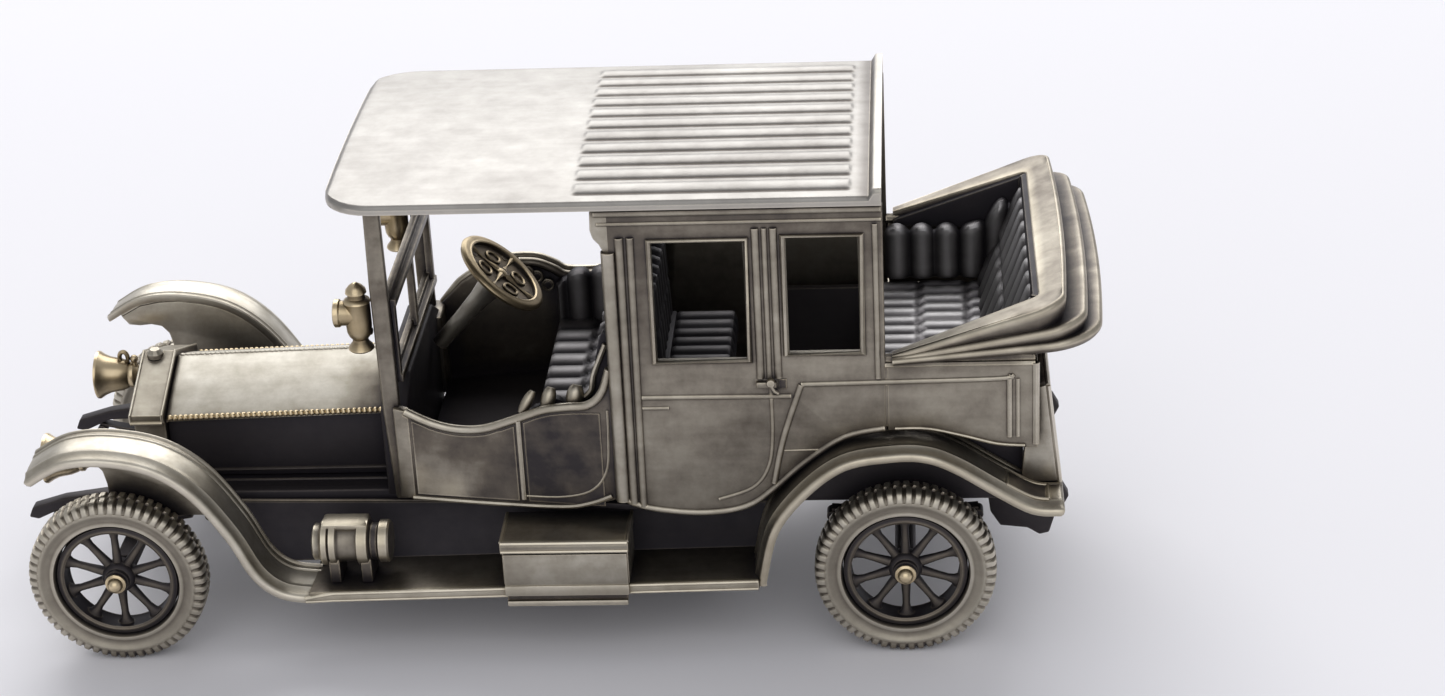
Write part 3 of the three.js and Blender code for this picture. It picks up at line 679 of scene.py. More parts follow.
for side_name in SIDES:
    for wing_name, shape, finish in (("front_wing", front_wing_form(wing_lifts[side_name]), satin),
                                     ("rear_wing", rear_wing_form(), aged)):
        wing_node = f"{wing_name}_{side_name}"
        piece(f"{wing_node}_shell", shape.on_side(side_name), finish, replaces=[wing_node])


# ---- Running boards, aprons and their fittings ----
board_thickness = 0.8


def board_top_at(x):
    low, high = span("running_board_left")
    return mix(high.z, low.z + board_thickness, (x - low.x) / (high.x - low.x))


def running_board_form():
    """The board with its raised lip, which sinks at the front to meet the wing. Its top is dark as painted
    shade.
    """
    low, high = span("running_board_left")
    ends = [low.x, high.x]
    outline = [(x, board_top_at(x)) for x in ends]
    outline += [(x, board_top_at(x) - board_thickness) for x in reversed(ends)]
    # The low usual wear, 0.3, colours the board's top dark: painted shade, for the shadow the top lies in.
    form = Form(0.3)
    form.slab(outline, side_place, low.y, high.y, 0.16)
    rear, bend, front = low.x - 0.1, high.x - 2, high.x + 0.3
    lip = [(rear, -0.02), (bend, -0.02), (front, -0.4), (front, -0.95), (rear, -0.92)]
    lip = [(x, board_top_at(x) + drop) for x, drop in lip]
    form.slab(lip, side_place, high.y - 0.35, high.y + 0.04, 0.16, wear=0.85)
    for drop, fall, radius in ((-0.14, 0.38, 0.17), (-0.78, 0.05, 0.13)):
        run = [(low.x, 0), (bend, 0), (front, fall)]
        form.tube([(x, high.y - 0.02, board_top_at(x) + drop - sink) for x, sink in run], radius, wear=0.9)
    return form


def splash_apron_form():
    """A sheet that leans from the chassis down to the board and follows the wing at the front."""
    low, high = span("splash_apron_left")
    wing = spline(front_wing_path, 60)
    top_y, foot_y = 9.25, 11.5
    form = Form(0.25)
    rings = []
    for i in range(41):
        x = mix(low.x, high.x, i / 40)
        top_z = mix(high.z - 0.7, high.z, i / 40)
        foot_z = board_top_at(x) - 0.05
        over = [z for wing_x, z in wing if wing_x <= x and wing_x > 21]
        if over:
            foot_z = max(foot_z, max(over) - 2.0)
        foot_z = min(foot_z, top_z - 0.3)
        share = (top_z - foot_z) / (top_z - board_top_at(x))
        rows = []
        for k in range(9):
            t = k / 8
            sag = 0.3 * math.sin(math.pi * t * share)
            y = mix(top_y, mix(top_y, foot_y, share), t)
            rows.append((y - sag * 0.8, mix(top_z, foot_z, t) - sag * 0.5))
        inner = [(y - 0.42, z - 0.12) for y, z in reversed(rows)]
        rings.append([(x, y, z) for y, z in rows + inner])
    form.loft(rings)
    form.tube([(ring[0][0], top_y - 0.03, ring[0][2]) for ring in rings], 0.13, wear=0.85)
    return form


for side_name in SIDES:
    for node_name, shape, finish, suffix in (("running_board", running_board_form(), aged, "plate"),
                                             ("splash_apron", splash_apron_form(), oxidised, "sheet")):
        side_node = f"{node_name}_{side_name}"
        piece(f"{side_node}_{suffix}", shape.on_side(side_name), finish, replaces=[side_node])


def rear_apron_form():
    """The tail below the hood: a sloping back, and a cheek at each side that closes it to the body."""
    low, high = span("rear_apron")
    half = high.y + 1.0
    proud = 0.08        # the cheeks stand this far outside the back, so that no faces coincide
    form = Form(0.5)
    slope = []
    for i in range(13):
        t = i / 12
        slope.append((mix(high.x - 0.75, low.x - 0.1, t), mix(high.z - 0.1, low.z + 0.2, t)))
    front = [(high.x - 0.05, z) for x, z in reversed(slope)]
    form.slab(slope + front, side_place, -half, half, 0.2, wear=0.6)
    cheek = [(high.x - 0.55, high.z), (low.x + 0.1, low.z + 0.3), (high.x + 1.5, low.z + 0.2),
             (high.x + 1.2, 17.3), (high.x + 0.35, 18.2), (high.x + 0.35, high.z - 0.3)]
    for side in (-1, 1):
        ends = sorted((side * (half + proud), side * (half - 0.8)))
        form.slab(cheek, side_place, *ends, 0.16, wear=0.7)
        form.tube([(x + 0.1, side * (half - 0.08), z) for x, z in slope], 0.22, wear=0.85)
    top_x, top_z = slope[0]
    form.tube([(top_x + 0.1, y, top_z) for y in (-half, half)], 0.2, wear=0.5)
    return form


piece("rear_apron_sheet", rear_apron_form(), rubbed, replaces=["rear_apron"])


def toolbox_form():
    """The step box on the board, with a bright sill, a recess under it that is coloured near black as painted
    shade, and a step at the foot.
    """
    low, high = span("toolbox")
    top = board_top_at(low.x)
    form = Form(0.62)
    # Inset at both ends, depth of the back, foot, depth of the front, head, rounding, wear.
    for inset, back, foot, out, head, rounding, wear in (
            (0, high.y - low.y, top + 0.05, 0.3, high.z, 0.12, 0.62),
            (0.1, 0.4, top - 0.1, 0.08, high.z - 0.05, 0.08, 0.62),
            (0.05, 0.32, top - 0.85, 0, top + 0.12, 0.14, 0.85),
            # The recess under the sill: its wear of 0.05 paints the shade of the gap near black.
            (0.2, 0.5, low.z + 0.4, 0.25, top - 0.8, 0.05, 0.05),
            (0.2, 0.34, low.z, 0.02, low.z + 0.5, 0.12, 0.9)):
        form.block((low.x + inset, high.y - back, foot), (high.x - inset, high.y - out, head), rounding, wear)
    return form


def toolbox_lid_form():
    """The lid, with a bead round its outer edge and down both ends."""
    low, high = span("toolbox_lid")
    form = Form(0.45)
    form.block(low, (high.x, high.y, high.z - 0.1), 0.16)
    rim = high.y - 0.08
    for z, r in ((high.z - 0.25, 0.2), (low.z + 0.2, 0.16)):
        form.tube([(low.x + 0.1, rim, z), (high.x - 0.1, rim, z)], r, wear=1)
    for x in (low.x + 0.12, high.x - 0.12):
        form.tube([(x, low.y + 0.2, high.z - 0.16), (x, rim, high.z - 0.16)], 0.14, wear=0.9)
    return form


def gas_generator_form():
    """A banded drum lying along the board in a clamp, on two feet."""
    low, high = span("gas_generator")
    y, z = (low.y + high.y) / 2, high.z - 1.95
    form = Form(0.6)
    profile = [(0, 0), (1.35, 0, 0.7), (1.5, 0.12, 0.9), (1.5, 0.5, 0.6), (1.55, 0.62, 0.2), (1.78, 0.7, 0.9),
               (1.92, 0.85, 1), (1.92, 1.25, 0.9), (1.78, 1.36, 0.2), (1.92, 1.48, 1), (1.92, 1.95, 0.9),
               (1.72, 2.1, 0.2), (1.66, 2.3, 0.5), (1.66, 3.5, 0.5), (1.72, 3.65, 0.2), (1.92, 3.75, 1),
               (1.94, 4.15, 1), (1.92, 4.55, 0.9), (1.7, 4.7, 0.1), (1.5, 4.8, 0.0), (1.5, 5.3, 0.0),
               (1.62, 5.42, 0.8), (1.74, 5.5, 1), (1.74, 6.15, 0.9), (1.6, 6.3, 0.7), (0, 6.38, 0.5)]
    form.turned(profile, (high.x, y, z), (-1, 0, 0), 48)
    form.block((high.x - 4.6, y - 1.3, z + 1.35), (high.x - 0.75, y + 0.9, high.z), 0.3, wear=0.85)
    for x in (low.x + 1.6, high.x - 2.2):
        form.block((x, y - 1.4, low.z), (x + 0.9, y + 1.5, z - 0.9), 0.14, wear=0.25)
        form.tube([(x + 0.45, y + 1.1, low.z + 0.2), (x + 0.45, y + 1.1, low.z + 0.75)], 0.25, wear=0.5)
    return form


piece("toolbox_case", toolbox_form(), aged, replaces=["toolbox"])
piece("toolbox_cover", toolbox_lid_form(), aged, replaces=["toolbox_lid"])
piece("gas_generator_drum", gas_generator_form(), aged, replaces=["gas_generator"])


# ---- Bonnet and radiator ----
def beaded_line(form, start, end, pitch, radius, depth=0.4, wear=1.0):
    """A row of beads run together, as a knurled hinge shows."""
    start, end = Vector(start), Vector(end)
    beads = max(1, round((end - start).length / pitch))
    steps = beads * 6
    path = [start.lerp(end, i / steps) for i in range(steps + 1)]
    form.tube(path, lambda t: radius * (1 - depth * math.cos(math.pi * beads * t) ** 6), wear=wear)


bonnet_rise = 0.5


def bonnet_lift(x):
    """How far the bonnet has risen at x, from its front towards the windscreen."""
    low, high = span("bonnet")
    return bonnet_rise * (high.x - x) / (high.x - low.x)


def bonnet_form():
    """A low gabled lid that rises to the rear, tarnished on its front corners."""
    low, high = span("bonnet")
    half = high.y
    ridge = high.z - bonnet_rise - 0.1
    edge = low.z + 0.4
    form = Form(0.62)
    across = 24
    section = []
    for i in range(across + 1):
        t = 2 * i / across - 1
        crown = 0.12 * math.sin(math.pi * abs(t))
        section.append((t * half, mix(ridge, edge, abs(t)) + crown))
    section += [(half, low.z), (-half, low.z)]
    inner = [mix(low.x + 0.5, high.x - 0.5, i / 24) for i in range(25)]
    stations = [low.x, low.x + 0.15] + inner + [high.x - 0.15, high.x]
    drops = [0.1, 0.02] + [0] * len(inner) + [0.02, 0.12]

    def wear_at(x, y):
        tarnished = smooth_step(low.x + 5.5 - x, 0, 4.5) * smooth_step(abs(y), 0.6, 4.0)
        return 0.68 - 0.6 * tarnished - 0.2 * smooth_step(abs(y), half - 1.6, half)

    form.loft([[(x, y, z + bonnet_lift(x) - drop, wear_at(x, y)) for y, z in section]
               for x, drop in zip(stations, drops)])
    ends = [(x, 0, ridge + bonnet_lift(x)) for x in (low.x + 0.2, high.x - 0.2)]
    beaded_line(form, *ends, 0.42, 0.12, wear=0.75)
    return form


def bonnet_hinge_form(side):
    low, high = span("bonnet")
    form = Form(1)
    ends = [(x, side * (high.y - 0.02), low.z + 0.3 + bonnet_lift(x)) for x in (low.x + 0.3, high.x - 0.1)]
    beaded_line(form, *ends, 0.44, 0.27, depth=0.45)
    return form


def engine_housing_form():
    """The dark casing below the bonnet, with a bead along its foot and one on each frame rail."""
    low, high = span("engine_housing")
    form = Form(0.4)
    top_front = high.z - bonnet_rise
    outline = [(low.x, low.z), (high.x, low.z), (high.x, top_front), (low.x, high.z)]
    form.slab(outline, side_place, low.y, high.y, 0.12)
    for side in (-1, 1):
        y = high.y * side
        form.tube([(low.x, y, low.z + 0.6), (high.x, y, low.z + 0.5)], 0.12, wear=0.45)
        form.tube([(low.x, y * 1.12, low.z - 0.1), (high.x, y * 1.12, low.z - 0.1)], 0.14, wear=0.7)
    return form


def radiator_core_form():
    """A plate with a fine grid of vertical tubes and horizontal fins."""
    low, high = span("radiator_core")
    form = Form(0.3)
    half = high.y
    edge_z = high.z - 2.15
    form.slab([(-half, low.z), (half, low.z), (half, edge_z), (0, high.z), (-half, edge_z)],
              lambda a, b, depth: Vector((depth, a, b)), low.x, high.x - 0.12, 0.05, wear=0.15)
    face_x = high.x - 0.08
    columns, rows = 17, 12
    for i in range(columns):
        y = mix(-half + 0.35, half - 0.35, i / (columns - 1))
        top = mix(high.z, edge_z, abs(y) / half) - 0.25
        form.tube([(face_x, y, low.z + 0.1), (face_x, y, top)], 0.09, sides=6, wear=0.75)
    for i in range(rows):
        z = mix(low.z + 0.3, high.z - 0.8, i / (rows - 1))
        reach = half if z < edge_z else half * (high.z - z) / (high.z - edge_z)
        ends = [(face_x + 0.02, y, z) for y in (0.15 - reach, reach - 0.15)]
        form.tube(ends, 0.07, sides=6, wear=0.6)
    return form


def radiator_trim_form():
    """Rubbed beads on the edges of the radiator shell."""
    low, high = span("radiator_shell")
    form = Form(0.9)
    edge_z, half, drop, peak = 18.0, high.y, 17.3, 20.75
    gable = [(-half, drop + 0.1), (-half, edge_z), (0, peak - 0.02), (half, edge_z), (half, drop + 0.1)]
    for x in (low.x + 0.12, high.x - 0.12):
        form.tube([(x, y, z) for y, z in gable], 0.12, wear=0.8)
    for y in (-half, half):
        form.tube([(x, y, drop + 0.05) for x in (low.x + 0.1, high.x - 0.1)], 0.2, wear=1)
    return form


def filler_cap_form():
    form = Form(0.6)
    # The collar and neck under the cap have wear near 0: painted shade for the hollow under the cap.
    cap = [(0, -0.4), (0.72, -0.4, 0.0), (0.7, 0.0, 0.0), (0.46, 0.08, 0.1), (0.52, 0.25, 0.7),
           (0.47, 0.45, 0.9), (0.25, 0.58, 0.9), (0, 0.6, 0.9)]
    form.turned(cap, (34.35, 0.6, 20.4), (0, 0.2, 1), 32)
    return form


piece("bonnet_panels", bonnet_form(), rubbed, replaces=["bonnet"])
for side_name, side_sign in (("left", 1), ("right", -1)):
    piece(f"bonnet_hinge_{side_name}", bonnet_hinge_form(side_sign), gilt)
piece("engine_sides", engine_housing_form(), oxidised, replaces=["engine_housing"])
piece("radiator_grid", radiator_core_form(), oxidised, replaces=["radiator_core"])
refined("radiator_shell", aged, 0.2, wear=0.62, crease=12)
piece("radiator_trim", radiator_trim_form(), aged)
piece("radiator_filler_cap", filler_cap_form(), aged)


# ---- Lamps ----
def headlamp_form(node):
    """A trumpet lamp with a ring and a knob on top, on a short arm from the radiator shell."""
    low, high = span(node)
    y = (low.y + high.y) / 2
    z = high.z - 2.3
    form = Form(0.6)
    bell = [(0, 0), (0.55, 0.02, 0.7), (0.8, 0.15, 0.8), (0.95, 0.45, 0.5), (1.12, 0.55, 0.9),
            (1.16, 0.8, 0.9), (1.1, 0.95, 0.3), (1.22, 1.15, 0.5), (1.42, 1.7, 0.55), (1.5, 2.2, 0.6),
            (1.6, 2.7, 0.65), (1.82, 3.2, 0.7), (2.02, 3.5, 0.85), (2.1, 3.62, 1), (2.1, 3.76, 1),
            (1.98, 3.8, 0.9), (1.84, 3.66, 0.5), (1.5, 3.2, 0.6), (0.9, 2.9, 0.7), (0.45, 3.05, 0.9),
            (0, 3.12, 1)]
    form.turned(bell, (low.x, y, z), (1, 0, 0), 48)
    ring = [(low.x + 1.35 + 0.36 * math.cos(t), y, z + 1.62 + 0.55 * math.sin(t)) for t in turns(24)]
    form.tube(ring, 0.2, loop=True, wear=0.45)
    knob = [(0, 0), (0.3, 0), (0.22, 0.35), (0.36, 0.55), (0.36, 0.75), (0.2, 0.95), (0, 1.0)]
    form.turned(knob, (low.x + 0.45, y, z + 0.85), (0, 0, 1), 20)
    shell_high = span("radiator_shell")[1]
    anchor = (shell_high.x - 0.6, math.copysign(shell_high.y - 0.4, y), z - 0.4)
    form.tube([(low.x + 0.4, y, z - 0.1), (low.x - 0.8, y, z - 0.3), anchor], 0.32, sides=12, wear=0.2)
    return form


def side_lamp_form(node):
    """An upright oil lamp with its barrel facing forward."""
    low, high = span(node)
    y = (low.y + high.y) / 2
    x = low.x + 1.05
    form = Form(0.55)
    body = [(0, 0), (0.95, 0, 0.8), (1.04, 0.12, 0.9), (0.98, 0.32, 0.6), (0.66, 0.7, 0.3), (0.62, 0.95, 0.2),
            (0.86, 1.25, 0.7), (1.0, 1.6, 0.6), (1.04, 2.2, 0.5), (1.04, 4.1, 0.5), (1.12, 4.22, 0.9),
            (1.04, 4.38, 0.8), (0.72, 4.55, 0.2), (0.66, 4.9, 0.3), (0.86, 5.0, 0.9), (0.8, 5.3, 0.7),
            (0.52, 5.62, 0.7), (0.2, 5.84, 0.8), (0, 5.9, 0.8)]
    form.turned(body, (x, y, low.z), (0, 0, 1), 36)
    front = high.x - x
    barrel = [(0, 0), (1.0, 0, 0.3), (1.02, front - 0.55, 0.6), (1.14, front - 0.42, 0.95),
              (1.15, front - 0.08, 1), (1.05, front, 0.9), (0.85, front - 0.12, 0.4), (0.5, front - 0.1, 0.7),
              (0, front - 0.02, 0.8)]
    form.turned(barrel, (x, y, low.z + 3.2), (1, 0, 0), 36)
    form.tube([(x - 0.6, y, low.z + 1.6), (x - 1.0, y + 0.1, low.z + 1.6)], 0.3, wear=0.4)
    return form


for side_name in SIDES:
    for lamp_name, maker in (("headlamp", headlamp_form), ("side_lamp", side_lamp_form)):
        lamp_node = f"{lamp_name}_{side_name}"
        piece(f"{lamp_node}_body", maker(lamp_node), gilt, replaces=[lamp_node])


# ---- Windscreen, scuttle and steering ----
for node_name in ("windscreen_post_left", "windscreen_post_right"):
    refined(node_name, aged, 0.2, wear=0.42)
refined("windscreen_frame", dusky, 0.16, wear=0.5)
refined("scuttle", oxidised, 0.2, wear=0.45)

steering_axis = Vector((-0.67, 0, 0.742)).normalized()


def steering_wheel_form():
    """A wide flat rim round a dished, closed web with a pattern of lobes in low relief."""
    low, high = span("steering_wheel")
    centre = (low + high) / 2
    radius = (high.y - low.y) / 2
    web_radius = radius - 0.85
    form = Form(0.6)
    rim = [(web_radius - 0.1, -0.2, 0.2), (radius - 0.55, -0.36, 0.5), (radius - 0.14, -0.26, 0.7),
           (radius, 0.0, 0.8), (radius - 0.1, 0.22, 0.95), (radius - 0.35, 0.34, 0.75),
           (radius - 0.62, 0.3, 0.68), (web_radius + 0.05, 0.36, 0.95), (web_radius - 0.08, 0.3, 0.7),
           (web_radius - 0.16, 0.05, 0.1)]
    web = [(0, -0.34, 0.3), (web_radius, -0.22, 0.3), (web_radius, 0.02, 0.05),
           (web_radius * 0.7, -0.08, 0.35), (web_radius * 0.35, -0.12, 0.3), (0, -0.05, 0.3)]
    boss = [(0, -0.1, 0.3), (0.62, -0.1, 0.1), (0.56, 0.12, 0.7), (0.3, 0.26, 0.9), (0, 0.3, 0.95)]
    for profile, segments in ((rim, 72), (web, 60), (boss, 32)):
        form.turned(profile, centre, steering_axis, segments)
    side = steering_axis.orthogonal().normalized()
    other = steering_axis.cross(side)

    def at(r, turn, height):
        return centre + (side * math.cos(turn) + other * math.sin(turn)) * r + steering_axis * height

    def bar_radius(t):
        return 0.18 + 0.12 * math.cos(2 * math.pi * t)

    for quarter in range(4):
        turn = math.pi / 4 + quarter * math.pi / 2
        form.tube([at(mix(0.5, web_radius, i / 8), turn, -0.02) for i in range(9)], bar_radius, wear=0.6)
        between = turn + math.pi / 4
        lobe = [at(1.95 + 0.62 * math.cos(t), between + 0.36 * math.sin(t), -0.04) for t in turns(24)]
        form.tube(lobe, 0.15, loop=True, wear=0.55)
        form.turned([(0, 0.0, 0.0), (0.3, 0.0, 0.0), (0.26, 0.06, 0.0), (0, 0.07, 0.0)],
                    at(2.85, turn + 0.2, -0.06), steering_axis, 16)
    return form


def steering_column_form():
    """A stout column that widens under the wheel."""
    low, high = span("steering_wheel")
    centre = (low + high) / 2
    foot = -8.7
    form = Form(0.6)
    cone = [(0, foot, 0.3), (0.7, foot, 0.6), (0.72, foot + 3, 0.7), (0.86, -3.2, 0.75), (1.12, -1.6, 0.7),
            (1.5, -0.66, 0.5), (1.5, -0.54, 0.4), (0, -0.5, 0.3)]
    form.turned(cone, centre, steering_axis, 32)
    return form


piece("steering_wheel_rim", steering_wheel_form(), bronzed, "steering", ["steering_wheel"])
piece("steering_column_tube", steering_column_form(), satin, replaces=["steering_column"])


# ---- Upholstery ----
def groove(v):
    """Height across the rolls: 0 in a seam, 1 on the crown of a roll."""
    return abs(math.sin(math.pi * v)) ** 0.55


def quilt(form, to_space, length, width, depth, pitch, columns, puff, lobed=0.0, slant=0.0):
    """A block whose upper face is sewn into rolls.

    Rolls run along u over the length; each column's rolls are half a pitch off its neighbour's.
    to_space(u, v, w) puts a point in space, w being the height above the block's foot.
    """
    rim = 0.45              # width of the rounding at the block's upper edges
    seam_half = 0.16        # half of a seam between two columns, as a share of a column
    step_u, step_v = 0.22, 0.18
    nu = max(12, int(length / step_u))
    nv = max(12, int(width / step_v))
    rows = []
    for i in range(nu + 1):
        s = i / nu
        u = s * length
        shift = sum(0.5 * smooth_step(s * columns, k - seam_half, k + seam_half) for k in range(1, columns))
        seam = min([abs(s * columns - k) for k in range(1, columns)] + [1.0])
        pinch = 1 - 0.4 * math.exp(-(seam / 0.07) ** 2)
        row = []
        for j in range(nv + 1):
            v = j / nv * width
            crown = groove(v / pitch + shift + slant * u / pitch)
            near_side = min(v, width - v, u, length - u)
            fall = 1 - math.sqrt(max(0.0, 1 - (1 - min(1.0, near_side / rim)) ** 2))
            height = depth - puff + puff * crown * pinch - fall * (0.35 * depth)
            push = lobed * (crown - 0.5) * smooth_step(u, length - 1.2, length)
            row.append((u + push, v, height, (0.12 + 0.88 * crown * pinch) * (1 - 0.25 * fall)))
        rows.append(row)
    top = [[(*to_space(u, v, w), wear) for u, v, w, wear in row] for row in rows]
    floor = [[(*to_space(u, v, 0), 0.1) for u, v, w, wear in row] for row in rows]
    start = form.grid(top)
    under = form.grid(floor)
    across = nv + 1
    ring = [i * across for i in range(nu + 1)] + [nu * across + j for j in range(1, nv + 1)]
    ring += [i * across + nv for i in range(nu - 1, -1, -1)] + [j for j in range(nv - 1, 0, -1)]
    for a, b in zip(ring, ring[1:] + ring[:1]):
        form.faces.append((start + a, start + b, under + b, under + a))


def cushion_form(node, pitch, columns, puff):
    """A seat cushion over its CAD block: rolls run from front to back."""
    low, high = span(node)
    form = Form()
    thickness = 2.2
    base_z = high.z - thickness
    quilt(form, lambda u, v, w: (high.x - u, low.y + v, base_z + w),
          high.x - low.x, high.y - low.y, thickness, pitch, columns, puff)
    form.block((low.x + 0.2, low.y + 0.2, low.z), (high.x - 0.35, high.y - 0.2, base_z + 0.4), 0.2, wear=0.25)
    return form


def front_back_form():
    """The bench's back and its two arms. The arms' inner faces carry wide upright rolls."""
    low, high = span("front_seat_back")
    form = Form()
    back_thick, arm_thick = 1.3, 1.1
    quilt(form, lambda u, v, w: (low.x + w, low.y + 0.3 + v, low.z + u),
          high.z - low.z - 0.25, high.y - low.y - 0.6, back_thick, 2.3, 2, 0.45, lobed=0.5)
    reach = high.x - low.x - 0.1
    rolls = 3.4
    arm_height = 5.0
    foot = low.z - 0.6
    for side, arm_top in ((-1, 22.3), (1, 21.4)):
        def arm_place(u, v, w, side=side, arm_top=arm_top):
            top = mix(high.z - 0.3, arm_top, smooth_step(v, 0.6, 2.6)) - 0.4 * smooth_step(v, 3.5, reach)
            top -= 0.9 * smooth_step(v, reach - 0.9, reach)
            return (low.x + v, side * (high.y - w), foot + (top - low.z + 0.6) * u / arm_height)

        quilt(form, arm_place, arm_height, reach, arm_thick + 0.15, reach / rolls, 1, 0.55, lobed=0.9)
    return form


def rear_back_form():
    """The rear seat back with two rows of slanted rolls, and the side rests with big domed rolls."""
    low, high = span("rear_seat_back")
    form = Form()
    back_thick, arm_thick = 1.4, 0.9
    height = high.z - low.z - 0.25
    lean, lean_back = 3.6, 1.6

    def back_place(u, v, w):
        return (low.x + w - lean_back + lean * (1 - u / height), low.y + 0.2 + v, low.z - 0.3 + u * 1.04)

    quilt(form, back_place, height, high.y - low.y - 0.4, back_thick, 2.5, 2, 0.6, lobed=0.6, slant=0.3)
    front_x = high.x + 0.45
    reach = front_x - low.x
    arm_height = 4.4
    for side, arm_top in ((-1, 25.6), (1, 24.6)):
        def arm_place(u, v, w, side=side, arm_top=arm_top):
            top = mix(arm_top, 28.2, smooth_step(v, reach - 4.0, reach))
            return (front_x - v, side * (high.y - w), low.z + (top - low.z) * u / arm_height)

        quilt(form, arm_place, arm_height, reach, arm_thick + 0.3, 2.14, 1, 0.7, lobed=0.9)
    return form


def jump_seat_form():
    """The folding seat that faces the rear: its cushion, its back and the block under them."""
    low, high = span("jump_seat")
    form = Form()
    seat_top, seat_low, back_x = 21.0, 18.8, low.x + 5.3
    width = 2 * high.y
    quilt(form, lambda u, v, w: (back_x - u, low.y + v, seat_low + w),
          back_x - low.x, width, seat_top - seat_low, 1.7, 1, 0.4)

    def back_place(u, v, w):
        return (high.x - w - 0.35 * (1 - u / 7.4), low.y + v, seat_top - 0.4 + u)

    quilt(form, back_place, high.z - seat_top + 0.4, width, 1.7, 1.7, 2, 0.35, lobed=0.4)
    form.block((back_x - 0.2, low.y + 0.3, low.z), (high.x - 0.2, high.y - 0.3, seat_top), 0.2, wear=0.3)
    return form


# The rear seat takes the copy with painted light, and the jump seat takes the copy with painted shade.
for name, form, finish, seat_node in (
        ("front_cushion", cushion_form("front_seat_cushion", 2.35, 2, 0.5), quilted, "front_seat_cushion"),
        ("front_seat_quilting", front_back_form(), quilted, "front_seat_back"),
        ("rear_cushion", cushion_form("rear_seat_cushion", 1.75, 3, 0.42), quilted_painted_light, "rear_seat_cushion"),
        ("rear_seat_quilting", rear_back_form(), quilted_painted_light, "rear_seat_back"),
        ("jump_seat_quilting", jump_seat_form(), quilted_painted_shade, "jump_seat")):
    piece(name, form, finish, replaces=[seat_node])


# ---- Front body sides ----
panel_spread = 0.163
pillar_x = span("cabin_side_left")[1].x
side_y = span("cabin_side_left")[1].y - 0.5
panel_y = side_y - 0.2


def on_panel(x, z, out=0.0):
    """A point on the outer face of the left front panel, which spreads towards the cabin."""
    return (x, panel_y - panel_spread * (x - pillar_x) + out, z)


passenger_sill = [(11.5, 20.3), (9.4, 19.4), (7.3, 19.0), (5.0, 19.2), (2.4, 20.2), (0.0, 21.2), (-2.0, 21.6)]
driver_sill = [(11.5, 19.6), (10.5, 20.8), (9.7, 21.6), (8.0, 22.6), (6.0, 23.3), (4.6, 23.4), (3.1, 23.2),
               (1.7, 22.5), (0.6, 21.8), (-2.0, 21.6)]
sill_end = [(-3.7, 21.9), (-4.9, 23.1), (-5.6, 25.2)]


def front_body_beads(sill, post_depth):
    """The beads of a side panel, and the foot of the windscreen post in front of it."""
    form = Form(0.8)
    form.tube([on_panel(x, z, -0.12) for x, z in spline(sill + sill_end, 48)], 0.36, sides=10, wear=0.82)
    form.tube([on_panel(2.1, z, 0.02) for z in (13.1, 16, 20.2)], 0.24, wear=0.8)
    foot = [(11.4, 12.55), (5, 12.5), (-1, 12.6), (-3.4, 13.1), (-5.2, 13.9)]
    form.tube([on_panel(x, z) for x, z in spline(foot, 20)], 0.22, wear=0.75)
    inner = [(2.1, 13.35), (-1.2, 13.5), (-3.6, 14.3), (-4.9, 16.2), (-5.2, 19.2), (-5.25, 21.6)]
    form.tube([on_panel(x, z, -0.04) for x, z in spline(inner, 24)], 0.13, wear=0.55)
    band = [(11.2, 12.4), (12.5, 12.4), (12.5, sill[0][1] + 0.3), (11.2, sill[0][1] + 0.1)]
    form.slab(band, lambda x, z, out: Vector(on_panel(x, z, out)), -post_depth, 0.06, 0.2, wear=0.5)
    return form


def panel_field_form(rear, front, sill, wear_at):
    """A field of the side panel, raised by a hair, worn unevenly as wear_at(x, z) tells."""
    form = Form()
    spans, steps = 24, 16
    foot = 12.9
    curve = spline(sill, 60)
    stations = [mix(rear, front, i / spans) for i in range(spans + 1)]
    heads = [min(curve, key=lambda point, x=x: abs(point[0] - x))[1] - 0.5 for x in stations]
    for out in (0.05, -0.1):
        rows = []
        for x, head in zip(stations, heads):
            heights = [mix(foot, head, k / steps) for k in range(steps + 1)]
            rows.append([(*on_panel(x, z, out), wear_at(x, z)) for z in heights])
        start = form.grid(rows)
    row = steps + 1
    edge = [i * row for i in range(spans + 1)] + [spans * row + k for k in range(1, row)]
    edge += [i * row + steps for i in range(spans - 1, -1, -1)] + list(range(steps - 1, 0, -1))
    for a, b in zip(edge, edge[1:] + edge[:1]):
        form.faces.append((a, b, start + b, start + a))
    return form


def front_field_wear(x, z):
    """Rubbed bright towards the foot of the windscreen post."""
    rubbed = smooth_step(x, 5.0, 9.0) * (1 - smooth_step(z, 14.0, 17.5))
    return 0.42 + 0.55 * rubbed + 0.12 * math.sin(1.3 * x + 0.8 * z)


def rear_field_wear(x, z):
    """Dark all over, and a little less so below the sill."""
    return 0.16 + 0.12 * smooth_step(z, 17, 20) + 0.08 * math.sin(1.7 * x - z)


def arm_roll_form():
    """Three rolls that lean out over the passenger's seat arm, and the bead behind them."""
    form = Form(0.9)
    arm_y = span("front_seat_back")[1].y
    for foot, top, radius in (((1.9, 20.6), (0.9, 22.2), 0.45), ((-0.1, 20.9), (-0.6, 22.5), 0.6),
                              ((-2.3, 21.1), (-2.7, 22.7), 0.72)):
        def roll_radius(t, widest=radius):
            return widest * math.sqrt(max(0.03, 1 - (1.6 * t - 0.75) ** 2))

        start = Vector((foot[0], arm_y + 0.55, foot[1]))
        end = Vector((top[0], arm_y - 0.1, top[1]))
        form.tube([start.lerp(end, i / 8) for i in range(9)], roll_radius, sides=14, wear=0.85)
    bead = [(-3.3, 21.8), (-3.85, 22.4), (-4.1, 23.7), (-4.7, 25.2), (-5.2, 26.4)]
    form.tube([(x, arm_y + 0.2, z) for x, z in spline(bead, 16)], 0.24, wear=0.8)
    return form


